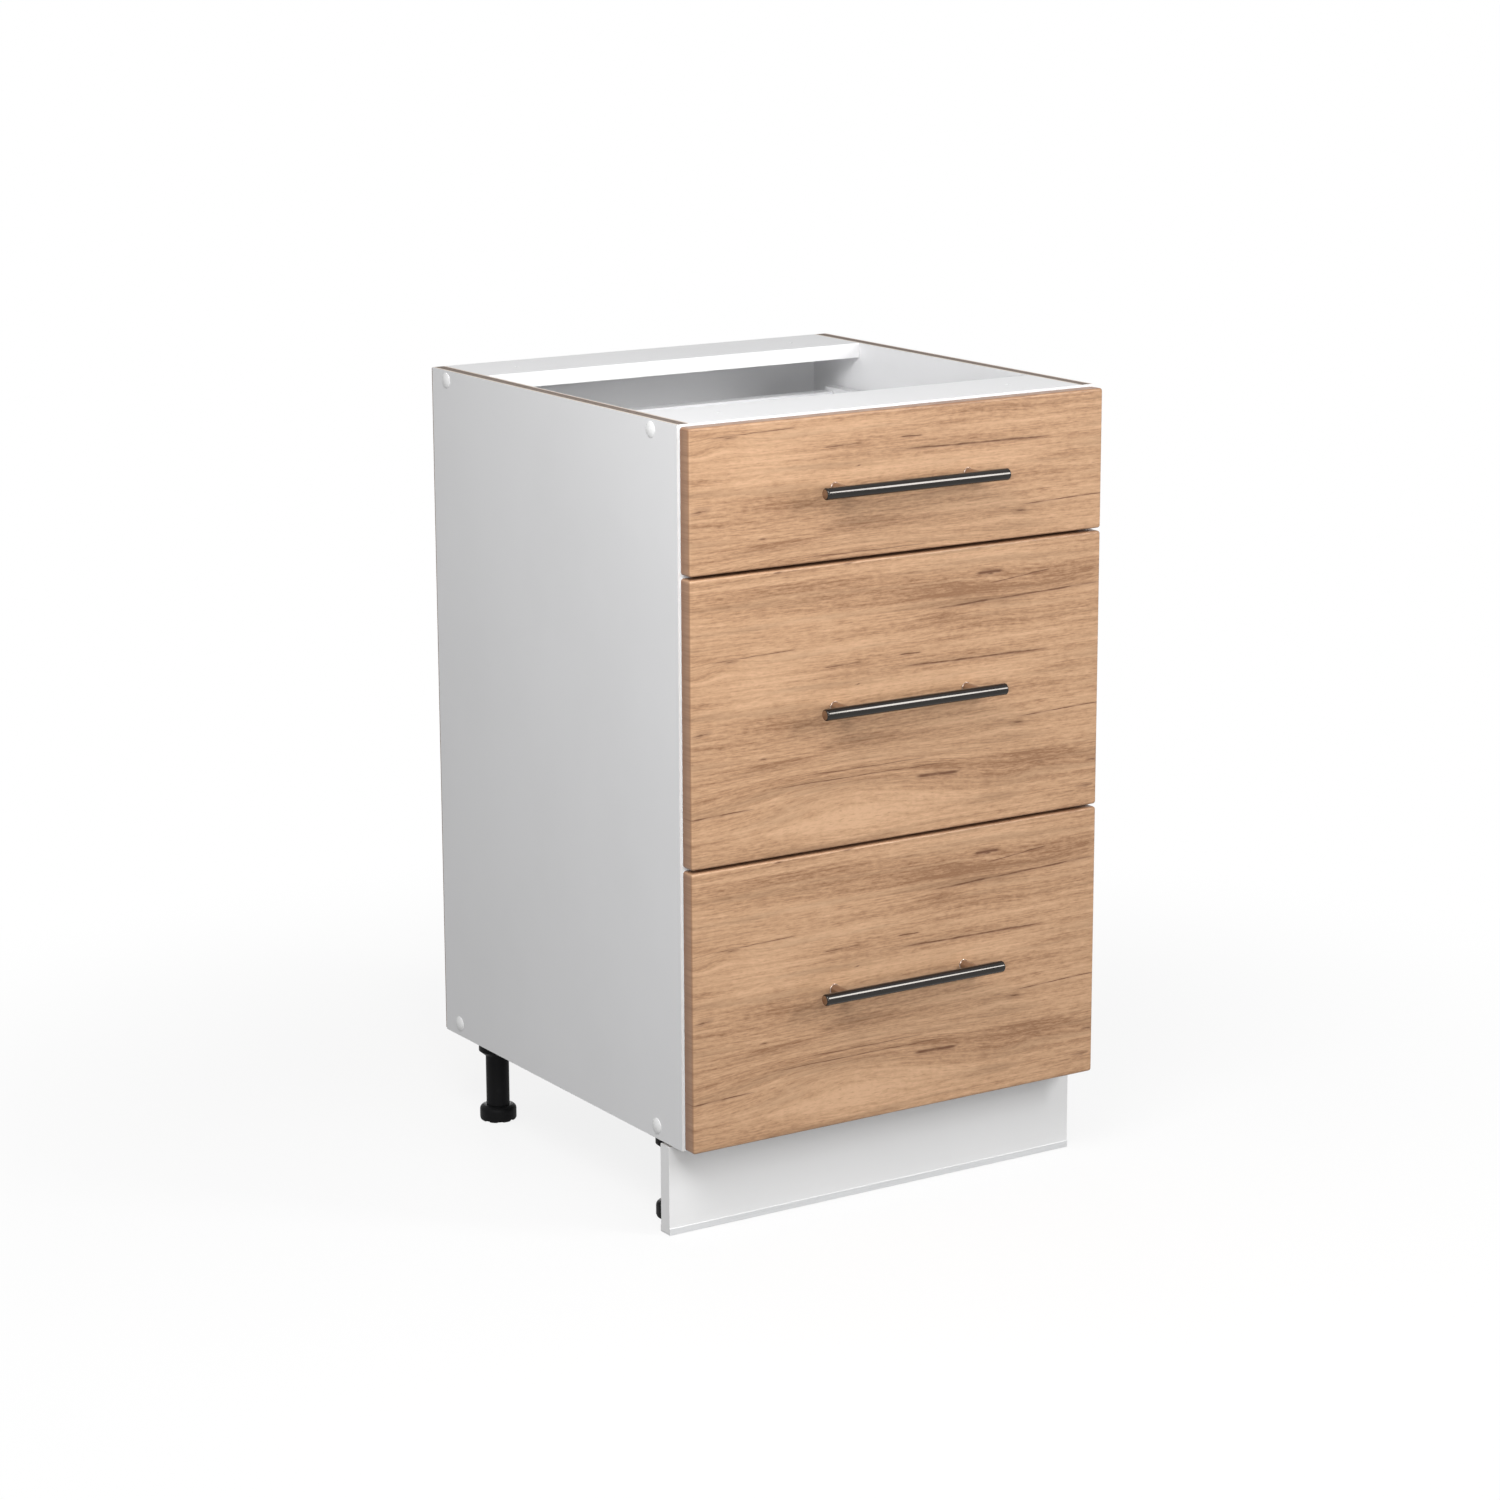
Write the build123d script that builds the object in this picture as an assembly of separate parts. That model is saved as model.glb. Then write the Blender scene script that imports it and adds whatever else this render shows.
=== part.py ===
from build123d import *
import math
import os
from collections import namedtuple

# Kitchen base cabinet: an open-topped chipboard carcass on levelling legs, a clip-on plinth, and a stack
# of three steel-sided drawers on roller runners, each with a decor front and a bar handle.
# Millimetres, +Z up, the floor at z = 0, the drawers open towards -Y.

# Carcass boards
cabinet_width = 500.0
side_height = 730.0
side_depth = 492.0
board = 16.0
back_thickness = 3.0
back_reveal = 1.0
rail_width = 90.0
side_overhang = 3.0
edge_band = 0.8
band_trim = 0.2

# Carcass fasteners
joint_screw_leg_gap = 5.2
joint_screw_shift = 2.5
joint_screw_shank = 3.5
joint_screw_core = 2.6
joint_screw_bite = 34.0
joint_screw_head = 5.0
joint_screw_head_depth = 4.0
cap_radius = 8.0
cap_rise = 2.6
cap_facets = 5
cap_stem = 2.0
cap_stem_length = 3.0
dowel_radius = 4.0
dowel_in_side = 10.0
dowel_in_panel = 20.0
dowel_rail_inset = 13.0
nail_radius = 0.7
nail_length = 18.0
nail_head = 1.7
nail_head_depth = 0.8
nails_per_edge = 4
nail_row_reach = 0.8
worktop_hole = 2.5
worktop_hole_inset = 60.0

# Legs
leg_height = 100.0
leg_rear_inset = 46.0
leg_side_gap = 1.0
leg_plinth_gap = 4.5
leg_screw_gap = 0.4
leg_screw_spread = 0.6
collar_radius = 20.0
collar_drop = 21.0
collar_chamfer = 5.0
socket_plate = 4.0
socket_floor = 3.0
column_radius = 12.7
foot_radius = 20.0
foot_rim = 12.0
foot_shoulder = 5.0
foot_edge = 2.5
stem_radius = 8.0
stem_length = 45.0
foot_notches = 8
notch_width = 6.0
notch_height = 4.0
notch_depth = 3.0

# Plinth
plinth_setback = 26.0
plinth_top_gap = 3.0
seal_height = 6.5
seal_wall = 0.8
seal_lip = 1.5
seal_floor_gap = 0.5
clip_height = 16.0
clip_plate_width = 52.0
clip_plate = 3.0
clip_wall = 2.4
clip_reach = 3.0

# Drawer fronts and handles
front_thickness = 16.0
front_side_reveal = 2.0
front_top_reveal = 2.0
front_bottom_reveal = 1.0
front_gap = 3.0
front_stand_off = 2.0
front_edge_radius = 2.5
front_corner_radius = 3.0
top_front_height = 144.0
handle_length = 220.0
handle_spacing = 160.0
bar_radius = 6.0
bar_stand_off = 27.0
bar_end_round = 2.0
post_radius = 5.0
spigot_radius = 2.5
spigot_length = 3.0
handle_screw_bite = 10.0

# Steel drawer sides
steel = 1.2
side_clearance = 3.0
track_width = 11.0
support_flange = 12.0
rim_lip = 6.0
tab_width = 26.0
tab_drop = 10.0
box_screw_places = (0.15, 0.5, 0.85)
top_box_side = 86.0
deep_box_side = 150.0
top_box_lift = 8.0
deep_box_lift = 28.0
box_board_gap = 0.5
box_back_drop = 4.0
bracket_sheet = 1.5
bracket_plate = 26.0
bracket_arm = 40.0
bracket_lift = 34.0
bracket_height = 28.0
bracket_rivet_place = 0.7

# Roller runners
runner_step = 50.0
runner_rear_room = 25.0
runner_front_inset = 3.0
runner_base = 3.0
channel_depth = 11.8
track_clearance = 2.0
roller_radius = 9.0
roller_width = 7.0
roller_side_gap = 0.2
roller_gap = 0.3
roller_play = 0.15
roller_edge = 0.8
roller_offset = 4.4
axle_radius = 2.5
axle_boss = 4.0
rivet_radius = 3.5
rivet_height = 0.9
front_roller_inset = 13.0
rear_roller_inset = 14.0
runner_screw_inset = 45.0

# Fits
pilot_gap = 0.1
thread_gap = 0.3
screw_cover = 4.0

Screw = namedtuple("Screw", "radius length head_radius head_height")
Drawer = namedtuple("Drawer", "name front_low front_high box_low box_high")

# Levels and planes that follow from the sizes above
inner_half = cabinet_width / 2 - board
side_bottom = leg_height - side_overhang
side_top = side_bottom + side_height
floor_low = leg_height
floor_high = floor_low + board
rail_high = side_top
rail_low = rail_high - board
front_projection = front_stand_off + front_thickness + bar_stand_off + bar_radius
front_edge = (front_projection - side_depth - back_thickness) / 2
rear_edge = front_edge + side_depth
back_face = rear_edge + back_thickness
board_front = front_edge + edge_band
front_rail_rear = front_edge + rail_width
rear_rail_front = rear_edge - rail_width
front_rear = front_edge - front_stand_off
front_face = front_rear - front_thickness
bar_y = front_face - bar_stand_off
front_half = cabinet_width / 2 - front_side_reveal
lower_fronts_room = side_height - front_top_reveal - front_bottom_reveal - top_front_height - 2 * front_gap
lower_front_height = lower_fronts_room / 2
leg_x = inner_half - collar_radius - leg_side_gap
rear_leg_y = rear_edge - leg_rear_inset
foot_top = foot_rim + foot_shoulder
column_low = foot_top + thread_gap
column_high = leg_height - socket_floor
collar_low = leg_height - collar_drop
plinth_front = front_edge + plinth_setback
plinth_rear = plinth_front + board
plinth_low = seal_floor_gap + seal_lip
plinth_high = side_bottom - plinth_top_gap
clip_middle = (foot_top + collar_low - collar_chamfer) / 2
runner_length = runner_step * math.floor((side_depth - runner_rear_room) / runner_step)
runner_front = front_edge + runner_front_inset
runner_rear = runner_front + runner_length
box_front = front_rear
box_rear = box_front + runner_length
box_wall = inner_half - side_clearance - track_width - steel
box_half = box_wall - box_board_gap
channel_floor = runner_base + steel
rear_roller_rise = channel_floor + roller_gap + roller_radius
channel_roof = rear_roller_rise + roller_radius + roller_gap
channel_top = channel_roof + steel
track_rise = channel_top + track_clearance
front_roller_rise = track_rise - roller_gap - roller_radius
front_roller_y = runner_front + front_roller_inset
rear_roller_y = box_rear - rear_roller_inset

# Screws, each with the length that its boards leave
leg_screw = Screw(1.9, socket_plate + board - screw_cover, 3.6, 2.2)
clip_screw = Screw(1.9, clip_plate + board - screw_cover, 3.4, 2.0)
runner_screw = Screw(1.9, steel + board - screw_cover, 3.6, 1.6)
box_screw = Screw(1.7, steel + board - screw_cover, 3.2, 1.8)
bracket_screw = Screw(1.9, bracket_sheet + front_thickness - screw_cover, 3.4, 1.8)
bracket_rivet = Screw(1.6, bracket_sheet + steel, 3.0, 1.4)
handle_screw = Screw(1.95, front_thickness + handle_screw_bite, 4.0, 2.4)

# A leg's screws stand clear of its collar, its plate takes them in, and the plinth stands before the plate
leg_screw_dx = leg_screw_spread * collar_radius
leg_screw_dy = math.sqrt((collar_radius + leg_screw.head_radius + leg_screw_gap) ** 2 - leg_screw_dx**2)
socket_half = leg_screw_dy + 2 * leg_screw.head_radius
front_leg_y = plinth_rear + leg_plinth_gap + socket_half


def block(low, high):
    """A box between two opposite corners."""
    size = [b - a for a, b in zip(low, high)]
    return Pos(*low) * Box(*size, align=(Align.MIN, Align.MIN, Align.MIN))


def rod(start, towards, radius, length):
    """A round bar from a start point along a direction."""
    upright = Cylinder(radius, length, align=(Align.CENTER, Align.CENTER, Align.MIN))
    return Plane(origin=start, z_dir=towards) * upright


def cone(start, towards, radius, end_radius, length):
    """A tapered round bar from a start point along a direction."""
    upright = Cone(radius, end_radius, length, align=(Align.CENTER, Align.CENTER, Align.MIN))
    return Plane(origin=start, z_dir=towards) * upright


def turned(profile):
    """A solid of revolution about Z from (radius, height) points."""
    face = make_face(Polyline(*profile, close=True))
    return revolve(Plane.XZ * face, axis=Axis.Z)


def both_sides(piece):
    """A right-hand piece and its mirror image on the left."""
    return [piece, mirror(piece, about=Plane.YZ)]


def driven(screw, seat, into):
    """A pan-head screw whose head sits on the seat and whose point goes in along a direction."""
    outward = tuple(-c for c in into)
    tip = screw.radius
    point = tuple(s + c * (screw.length - tip) for s, c in zip(seat, into))
    shank = rod(seat, into, screw.radius, screw.length - tip)
    head = rod(seat, outward, screw.head_radius, screw.head_height)
    return head + shank + cone(point, into, screw.radius, screw.radius / 3, tip)


def pilot(screw, seat, into):
    """The hole that a driven screw needs."""
    return rod(seat, into, screw.radius + pilot_gap, screw.length + pilot_gap)


def save(name, *pieces):
    """Write one node, of one or more solids, to its STEP file."""
    solids = [solid for piece in pieces for solid in piece.solids()]
    shape = solids[0] if len(solids) == 1 else Compound(solids)
    export_step(shape, f"parts/{name}.step")


# Places of the fasteners
floor_middle = floor_low + board / 2
rail_middle = rail_low + board / 2
panel_middles = [floor_middle, rail_middle]
joint_screw_zs = [floor_middle + joint_screw_shift, rail_middle - joint_screw_shift]
joint_screw_ys = [
    front_leg_y - leg_screw_dy - joint_screw_leg_gap,
    rear_leg_y + leg_screw_dy - joint_screw_leg_gap,
]
joint_spots = [(y, z) for y in joint_screw_ys for z in joint_screw_zs]
rail_dowel_ys = [front_rail_rear - dowel_rail_inset, rear_rail_front + dowel_rail_inset]
dowel_spots = [(y, floor_middle) for y in (front_leg_y, rear_leg_y)]
dowel_spots += [(y, rail_middle) for y in rail_dowel_ys]
nail_span = side_height - 4 * board
nail_heights = [side_bottom + 2 * board + nail_span * i / (nails_per_edge - 1) for i in range(nails_per_edge)]
nail_reach = nail_row_reach * inner_half
nail_xs = [nail_reach * (2 * i / (nails_per_edge - 1) - 1) for i in range(nails_per_edge)]
side_nail_x = inner_half + board / 2
nail_spots = [(sign * side_nail_x, z) for sign in (1, -1) for z in nail_heights]
nail_spots += [(x, z) for x in nail_xs for z in panel_middles]
worktop_x = inner_half - worktop_hole_inset
worktop_ys = [front_edge + rail_width / 2, rear_edge - rail_width / 2]
leg_spots = [(sign * leg_x, y) for sign in (1, -1) for y in (front_leg_y, rear_leg_y)]
leg_screw_steps = [(i * leg_screw_dx, j * leg_screw_dy) for i in (1, -1) for j in (1, -1)]
leg_screw_spots = [(x + dx, y + dy) for x, y in leg_spots for dx, dy in leg_screw_steps]
clip_screw_dx = clip_plate_width / 2 - 2 * clip_screw.radius - 1
clip_screw_xs = [sign * leg_x + side * clip_screw_dx for sign in (1, -1) for side in (1, -1)]
runner_screw_ys = [
    runner_front + runner_screw_inset,
    (runner_front + runner_rear) / 2,
    runner_rear - runner_screw_inset,
]


def stack():
    """The drawers from the top down, each with the levels of its front and its box."""
    drawers = []
    top = side_top - front_top_reveal
    for name, height, lift, side in (
        ("top", top_front_height, top_box_lift, top_box_side),
        ("middle", lower_front_height, deep_box_lift, deep_box_side),
        ("bottom", lower_front_height, deep_box_lift, deep_box_side),
    ):
        box_low = top - height + lift
        drawers.append(Drawer(name, top - height, top, box_low, box_low + side))
        top -= height + front_gap
    return drawers


drawers = stack()


def runner_screw_seats():
    """Where the runner screws sit on the right-hand runners."""
    x = inner_half - steel
    middle = (channel_floor + channel_roof) / 2
    return [(x, y, drawer.box_low + middle) for drawer in drawers for y in runner_screw_ys]


def nail_hole(x, z):
    """A sunk nail's hole through the back panel and on into the board ahead of it."""
    shank = rod((x, back_face, z), (0, -1, 0), nail_radius + pilot_gap, nail_length + pilot_gap)
    return shank + rod((x, back_face, z), (0, -1, 0), nail_head + pilot_gap, nail_head_depth + pilot_gap)


def nail(x, z):
    """A nail whose head is flush with the back panel."""
    shank = rod((x, back_face, z), (0, -1, 0), nail_radius, nail_length)
    return shank + rod((x, back_face, z), (0, -1, 0), nail_head, nail_head_depth)


def joint_screw(y, z):
    """A right-hand carcass screw: sunk head with a socket, thick shank in the side, thinner core beyond."""
    outer = cabinet_width / 2
    head = cone((outer, y, z), (-1, 0, 0), joint_screw_head, joint_screw_shank, joint_screw_head_depth)
    shank = rod((outer, y, z), (-1, 0, 0), joint_screw_shank, board)
    core = rod((inner_half, y, z), (-1, 0, 0), joint_screw_core, joint_screw_bite)
    socket = rod((outer, y, z), (-1, 0, 0), cap_stem + pilot_gap, cap_stem_length + pilot_gap)
    return head + shank + core - socket


def joint_screw_hole(y, z):
    """The stepped hole that a right-hand carcass screw needs in the side and in the panel's end."""
    outer = cabinet_width / 2
    wide = joint_screw_head + pilot_gap
    narrow = joint_screw_shank + pilot_gap
    head = cone((outer, y, z), (-1, 0, 0), wide, narrow, joint_screw_head_depth)
    shank = rod((outer, y, z), (-1, 0, 0), narrow, board)
    bite = joint_screw_bite + pilot_gap
    return head + shank + rod((inner_half, y, z), (-1, 0, 0), joint_screw_core + pilot_gap, bite)


def screw_cap(y, z):
    """A right-hand domed cap with the stem that plugs into the screw's socket."""
    seat = (cabinet_width / 2, y, z)
    ball = (cap_radius**2 + cap_rise**2) / (2 * cap_rise)
    rims = [cap_radius * (1 - i / cap_facets) for i in range(cap_facets)]
    dome = [(r, math.sqrt(ball**2 - r**2) - ball + cap_rise) for r in rims]
    lens = Plane(origin=seat, z_dir=(1, 0, 0)) * turned([(0, 0), *dome, (0, cap_rise)])
    return lens + rod(seat, (-1, 0, 0), cap_stem, cap_stem_length)


def dowel(y, z, gap=0.0):
    """A right-hand dowel, or with a gap the hole that it needs."""
    start = (inner_half + dowel_in_side + gap, y, z)
    return rod(start, (-1, 0, 0), dowel_radius + gap, dowel_in_side + dowel_in_panel + 2 * gap)


def joint_holes():
    """Every carcass screw and dowel hole, on both sides."""
    holes = [joint_screw_hole(y, z) for y, z in joint_spots]
    holes += [dowel(y, z, pilot_gap) for y, z in dowel_spots]
    return [cut for hole in holes for cut in both_sides(hole)]


def carcass_boards():
    """The sides, the floor, the two top rails, the back and their front edge strips."""
    holes = joint_holes()
    nails = [nail_hole(x, z) for x, z in nail_spots]
    outer = cabinet_width / 2
    side = block((inner_half, board_front, side_bottom), (outer, rear_edge, side_top))
    runner_holes = [pilot(runner_screw, seat, (1, 0, 0)) for seat in runner_screw_seats()]
    right = side - holes - nails - runner_holes
    left = mirror(right, about=Plane.YZ)
    leg_holes = [pilot(leg_screw, (x, y, leg_height - socket_plate), (0, 0, 1)) for x, y in leg_screw_spots]
    base = block((-inner_half, board_front, floor_low), (inner_half, rear_edge, floor_high))
    front_rail = block((-inner_half, board_front, rail_low), (inner_half, front_rail_rear, rail_high))
    rear_rail_start = rear_rail_front + edge_band
    rear_rail = block((-inner_half, rear_rail_start, rail_low), (inner_half, rear_edge, rail_high))
    worktop_holes = [
        rod((x, y, rail_low), (0, 0, 1), worktop_hole, board) for x in (worktop_x, -worktop_x) for y in worktop_ys
    ]
    reach = outer - back_reveal
    back = block((-reach, rear_edge, side_bottom + back_reveal), (reach, back_face, side_top - back_reveal))
    save("right_side_panel", right)
    save("left_side_panel", left)
    save("bottom_panel", base - holes - nails - leg_holes)
    save("front_top_rail", front_rail - holes - worktop_holes)
    save("rear_top_rail", rear_rail - holes - nails - worktop_holes)
    save("back_panel", back - nails)
    side_strip = block((inner_half, front_edge, side_bottom), (outer, board_front, side_top))
    strip_half = inner_half - band_trim
    base_strip = block((-strip_half, front_edge, floor_low), (strip_half, board_front, floor_high))
    front_strip = block((-strip_half, front_edge, rail_low), (strip_half, board_front, rail_high))
    rear_strip = block((-strip_half, rear_rail_front, rail_low), (strip_half, rear_rail_start, rail_high))
    save("edge_bands", *both_sides(side_strip), base_strip, front_strip, rear_strip)


def carcass_fasteners():
    """Carcass screws with their caps, dowels and the back panel's nails."""
    save("carcass_screws", *[s for y, z in joint_spots for s in both_sides(joint_screw(y, z))])
    save("screw_caps", *[c for y, z in joint_spots for c in both_sides(screw_cap(y, z))])
    save("dowels", *[d for y, z in dowel_spots for d in both_sides(dowel(y, z))])
    save("back_panel_nails", *[nail(x, z) for x, z in nail_spots])


def leg_socket():
    """A leg's screw plate with the collar that holds its column, about the leg's own axis."""
    plate_low = leg_height - socket_plate
    plate = block((-collar_radius, -socket_half, plate_low), (collar_radius, socket_half, leg_height))
    plate = fillet(plate.edges().filter_by(Axis.Z), collar_radius / 3)
    lip = column_radius + collar_chamfer / 4
    collar = turned([(0, collar_low - collar_chamfer), (lip, collar_low - collar_chamfer),
                     (collar_radius, collar_low), (collar_radius, plate_low), (0, plate_low)])
    bore_low = collar_low - collar_chamfer
    bore = rod((0, 0, bore_low), (0, 0, 1), column_radius + pilot_gap, column_high - bore_low)
    holes = [pilot(leg_screw, (dx, dy, plate_low), (0, 0, 1)) for dx, dy in leg_screw_steps]
    return plate + collar - bore - holes


def leg_column():
    """A leg's column with the bore for the foot's stem, about the leg's own axis."""
    column = rod((0, 0, column_low), (0, 0, 1), column_radius, column_high - column_low)
    return column - rod((0, 0, column_low), (0, 0, 1), stem_radius + thread_gap, stem_length + thread_gap)


def leg_foot():
    """A levelling foot with a notched rim and its stem, about the leg's own axis."""
    shoulder = column_radius + foot_edge / 2
    foot = turned([(0, 0), (foot_radius - foot_edge, 0), (foot_radius, foot_edge), (foot_radius, foot_rim),
                   (shoulder, foot_top), (stem_radius, foot_top), (stem_radius, foot_top + stem_length),
                   (0, foot_top + stem_length)])
    notch = block((foot_radius - notch_depth, -notch_width / 2, 0),
                  (foot_radius + notch_depth, notch_width / 2, notch_height))
    return foot - [Rot(0, 0, 360 * i / foot_notches) * notch for i in range(foot_notches)]


def legs():
    """Four legs: sockets, columns, plate screws, and a foot each that winds in and out."""
    socket = leg_socket()
    column = leg_column()
    foot = leg_foot()
    plate_low = leg_height - socket_plate
    save("leg_sockets", *[Pos(x, y, 0) * socket for x, y in leg_spots])
    save("leg_columns", *[Pos(x, y, 0) * column for x, y in leg_spots])
    save("leg_screws", *[driven(leg_screw, (x, y, plate_low), (0, 0, 1)) for x, y in leg_screw_spots])
    names = ("front_right", "rear_right", "front_left", "rear_left")
    for name, (x, y) in zip(names, leg_spots):
        save(f"foot_{name}", Pos(x, y, 0) * foot)


def plinth_clip():
    """A right-hand clip: a plate on the plinth's back and an open jaw that straddles the leg's column."""
    plate_rear = plinth_rear + clip_plate
    low = clip_middle - clip_height / 2
    high = clip_middle + clip_height / 2
    half = clip_plate_width / 2
    grip = column_radius + thread_gap
    jaw = grip + clip_wall
    plate = block((leg_x - half, plinth_rear, low), (leg_x + half, plate_rear, high))
    body = block((leg_x - jaw, plinth_rear, low), (leg_x + jaw, front_leg_y + clip_reach, high))
    mouth = block((leg_x - grip, front_leg_y, low), (leg_x + grip, front_leg_y + 2 * clip_reach, high))
    seat = rod((leg_x, front_leg_y, low), (0, 0, 1), grip, clip_height)
    holes = [pilot(clip_screw, (x, plate_rear, clip_middle), (0, -1, 0)) for x in clip_screw_xs]
    return plate + body - mouth - seat - holes


def plinth():
    """The plinth board, the seal along its lower edge, and the clips that hold it on the front legs."""
    half = cabinet_width / 2
    plate_rear = plinth_rear + clip_plate
    holes = [pilot(clip_screw, (x, plate_rear, clip_middle), (0, -1, 0)) for x in clip_screw_xs]
    plank = block((-half, plinth_front, plinth_low), (half, plinth_rear, plinth_high))
    outer = block((-half, plinth_front - seal_wall, seal_floor_gap),
                  (half, plinth_rear + seal_wall, seal_floor_gap + seal_height))
    save("plinth_board", plank - holes)
    save("plinth_seal", outer - plank)
    save("plinth_clips", *both_sides(plinth_clip()))
    screws = [driven(clip_screw, (x, plate_rear, clip_middle), (0, -1, 0)) for x in clip_screw_xs]
    save("plinth_clip_screws", *screws)


def roller(y, z):
    """A right-hand roller on its axle's centre line."""
    start = (inner_half - roller_offset, y, z)
    wheel = rod(start, (-1, 0, 0), roller_radius, roller_width)
    wheel = fillet(wheel.edges().filter_by(GeomType.CIRCLE), roller_edge)
    return wheel - rod(start, (-1, 0, 0), axle_radius + roller_play, roller_width)


def axle(y, z, root, towards):
    """A riveted axle: a boss on the sheet at its root, the pin through the roller and the rivet's head."""
    near = inner_half - roller_offset
    far = near - roller_width
    inward = towards[0] < 0
    boss_end = near + roller_side_gap if inward else far - roller_side_gap
    head_start = far - roller_side_gap if inward else near + roller_side_gap
    boss = rod((root, y, z), towards, axle_boss, abs(boss_end - root))
    pin = rod((root, y, z), towards, axle_radius, abs(head_start - root))
    return boss + pin + rod((head_start, y, z), towards, rivet_radius, rivet_height)


def runner(drawer):
    """A right-hand runner: a channel on the carcass side, open inwards, with an axle at its front end."""
    low = drawer.box_low
    inner = inner_half - channel_depth
    roof_front = front_roller_y + roller_radius + track_clearance
    web = block((inner_half - steel, runner_front, low + runner_base), (inner_half, runner_rear, low + channel_top))
    floor = block((inner, runner_front, low + runner_base), (inner_half, runner_rear, low + channel_floor))
    roof = block((inner, roof_front, low + channel_roof), (inner_half, runner_rear, low + channel_top))
    stop = block((inner, runner_rear - steel, low + runner_base), (inner_half, runner_rear, low + channel_top))
    pin = axle(front_roller_y, low + front_roller_rise, inner_half - steel, (-1, 0, 0))
    holes = [pilot(runner_screw, seat, (1, 0, 0)) for seat in runner_screw_seats()]
    return web + floor + roof + stop + pin - holes


def steel_side(drawer):
    """A right-hand drawer side, bent from one sheet: rim, wall, roller track, lower wall and floor flange,
    with a tab behind the drawer back and an axle near its rear end."""
    low, high = drawer.box_low, drawer.box_high
    track = low + track_rise
    outer = inner_half - side_clearance
    wall = block((outer - steel, box_front, track), (outer, box_rear, high))
    step = block((box_wall, box_front, track), (outer, box_rear, track + steel))
    lower = block((box_wall, box_front, low), (box_wall + steel, box_rear, track + steel))
    flange = block((box_wall - support_flange, box_front, low), (box_wall + steel, box_rear, low + steel))
    rim = block((box_wall, box_front, high - steel), (outer, box_rear, high))
    lip = block((box_wall, box_front, high - rim_lip), (box_wall + steel, box_rear, high))
    tab = block((box_wall - tab_width, box_rear - steel, low + steel), (box_wall + steel, box_rear, high - tab_drop))
    pin = axle(rear_roller_y, low + rear_roller_rise, box_wall + steel, (1, 0, 0))
    holes = [pilot(box_screw, seat, into) for seat, into in box_screw_seats(drawer)]
    holes += [pilot(bracket_rivet, bracket_rivet_seat(drawer), (1, 0, 0))]
    return wall + step + lower + flange + rim + lip + tab + pin - holes


def box_screw_seats(drawer):
    """Right-hand screws from below into the drawer bottom and from behind into the drawer back."""
    x = box_wall - support_flange / 2
    length = box_rear - box_front
    seats = [((x, box_front + length * f, drawer.box_low), (0, 0, 1)) for f in box_screw_places]
    x = box_wall - tab_width / 2
    for z in (drawer.box_low + 2 * board, drawer.box_high - tab_drop - board):
        seats.append(((x, box_rear, z), (0, -1, 0)))
    return seats


def bracket_screw_seats(drawer):
    """Right-hand screws from the bracket's plate into the front."""
    x = inner_half - side_clearance - steel - bracket_plate + 2 * bracket_screw.head_radius
    low = drawer.box_low + bracket_lift
    inset = 2 * bracket_screw.head_radius
    return [(x, box_front + bracket_sheet, z) for z in (low + inset, low + bracket_height - inset)]


def bracket_rivet_seat(drawer):
    """The right-hand rivet that joins the bracket's arm to the steel side."""
    x = inner_half - side_clearance - steel - bracket_sheet
    return (x, box_front + bracket_arm * bracket_rivet_place, drawer.box_low + bracket_lift + bracket_height / 2)


def front_bracket(drawer):
    """A right-hand angle bracket: a plate on the front's back and an arm along the steel side."""
    x = inner_half - side_clearance - steel
    low = drawer.box_low + bracket_lift
    high = low + bracket_height
    arm = block((x - bracket_sheet, box_front, low), (x, box_front + bracket_arm, high))
    plate = block((x - bracket_plate, box_front, low), (x, box_front + bracket_sheet, high))
    holes = [pilot(bracket_screw, seat, (0, -1, 0)) for seat in bracket_screw_seats(drawer)]
    return arm + plate - holes - pilot(bracket_rivet, bracket_rivet_seat(drawer), (1, 0, 0))


def handle_screw_seats(drawer):
    """The two handle screws, level with the middle of the front."""
    z = (drawer.front_low + drawer.front_high) / 2
    return [(sign * handle_spacing / 2, front_rear, z) for sign in (1, -1)]


def drawer_front(drawer):
    """A decor front with rounded face edges and the holes of its handle and brackets."""
    panel = block((-front_half, front_face, drawer.front_low), (front_half, front_rear, drawer.front_high))
    panel = fillet(panel.edges().filter_by(Axis.Y), front_corner_radius)
    panel = fillet(panel.faces().sort_by(Axis.Y)[0].edges(), front_edge_radius)
    holes = [pilot(handle_screw, seat, (0, -1, 0)) for seat in handle_screw_seats(drawer)]
    for seat in bracket_screw_seats(drawer):
        holes += both_sides(pilot(bracket_screw, seat, (0, -1, 0)))
    return panel - holes


def handle(drawer):
    """A handle's bar and its two posts, each with a spigot in the bar and a tapped bore for its screw."""
    z = (drawer.front_low + drawer.front_high) / 2
    bar = rod((-handle_length / 2, bar_y, z), (1, 0, 0), bar_radius, handle_length)
    bar = fillet(bar.edges().filter_by(GeomType.CIRCLE), bar_end_round)
    saddle = rod((-handle_length / 2, bar_y, z), (1, 0, 0), bar_radius + pilot_gap, handle_length)
    sink = bar_y + bar_radius - spigot_length
    posts = []
    for x, y, z in handle_screw_seats(drawer):
        spigot = rod((x, sink, z), (0, 1, 0), spigot_radius, bar_radius)
        bore = pilot(handle_screw, (x, front_rear, z), (0, -1, 0))
        posts.append(rod((x, bar_y, z), (0, 1, 0), post_radius, bar_stand_off) - saddle - bore + spigot)
        bar -= rod((x, sink - pilot_gap, z), (0, 1, 0), spigot_radius + pilot_gap, bar_radius)
    return bar, posts


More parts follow.
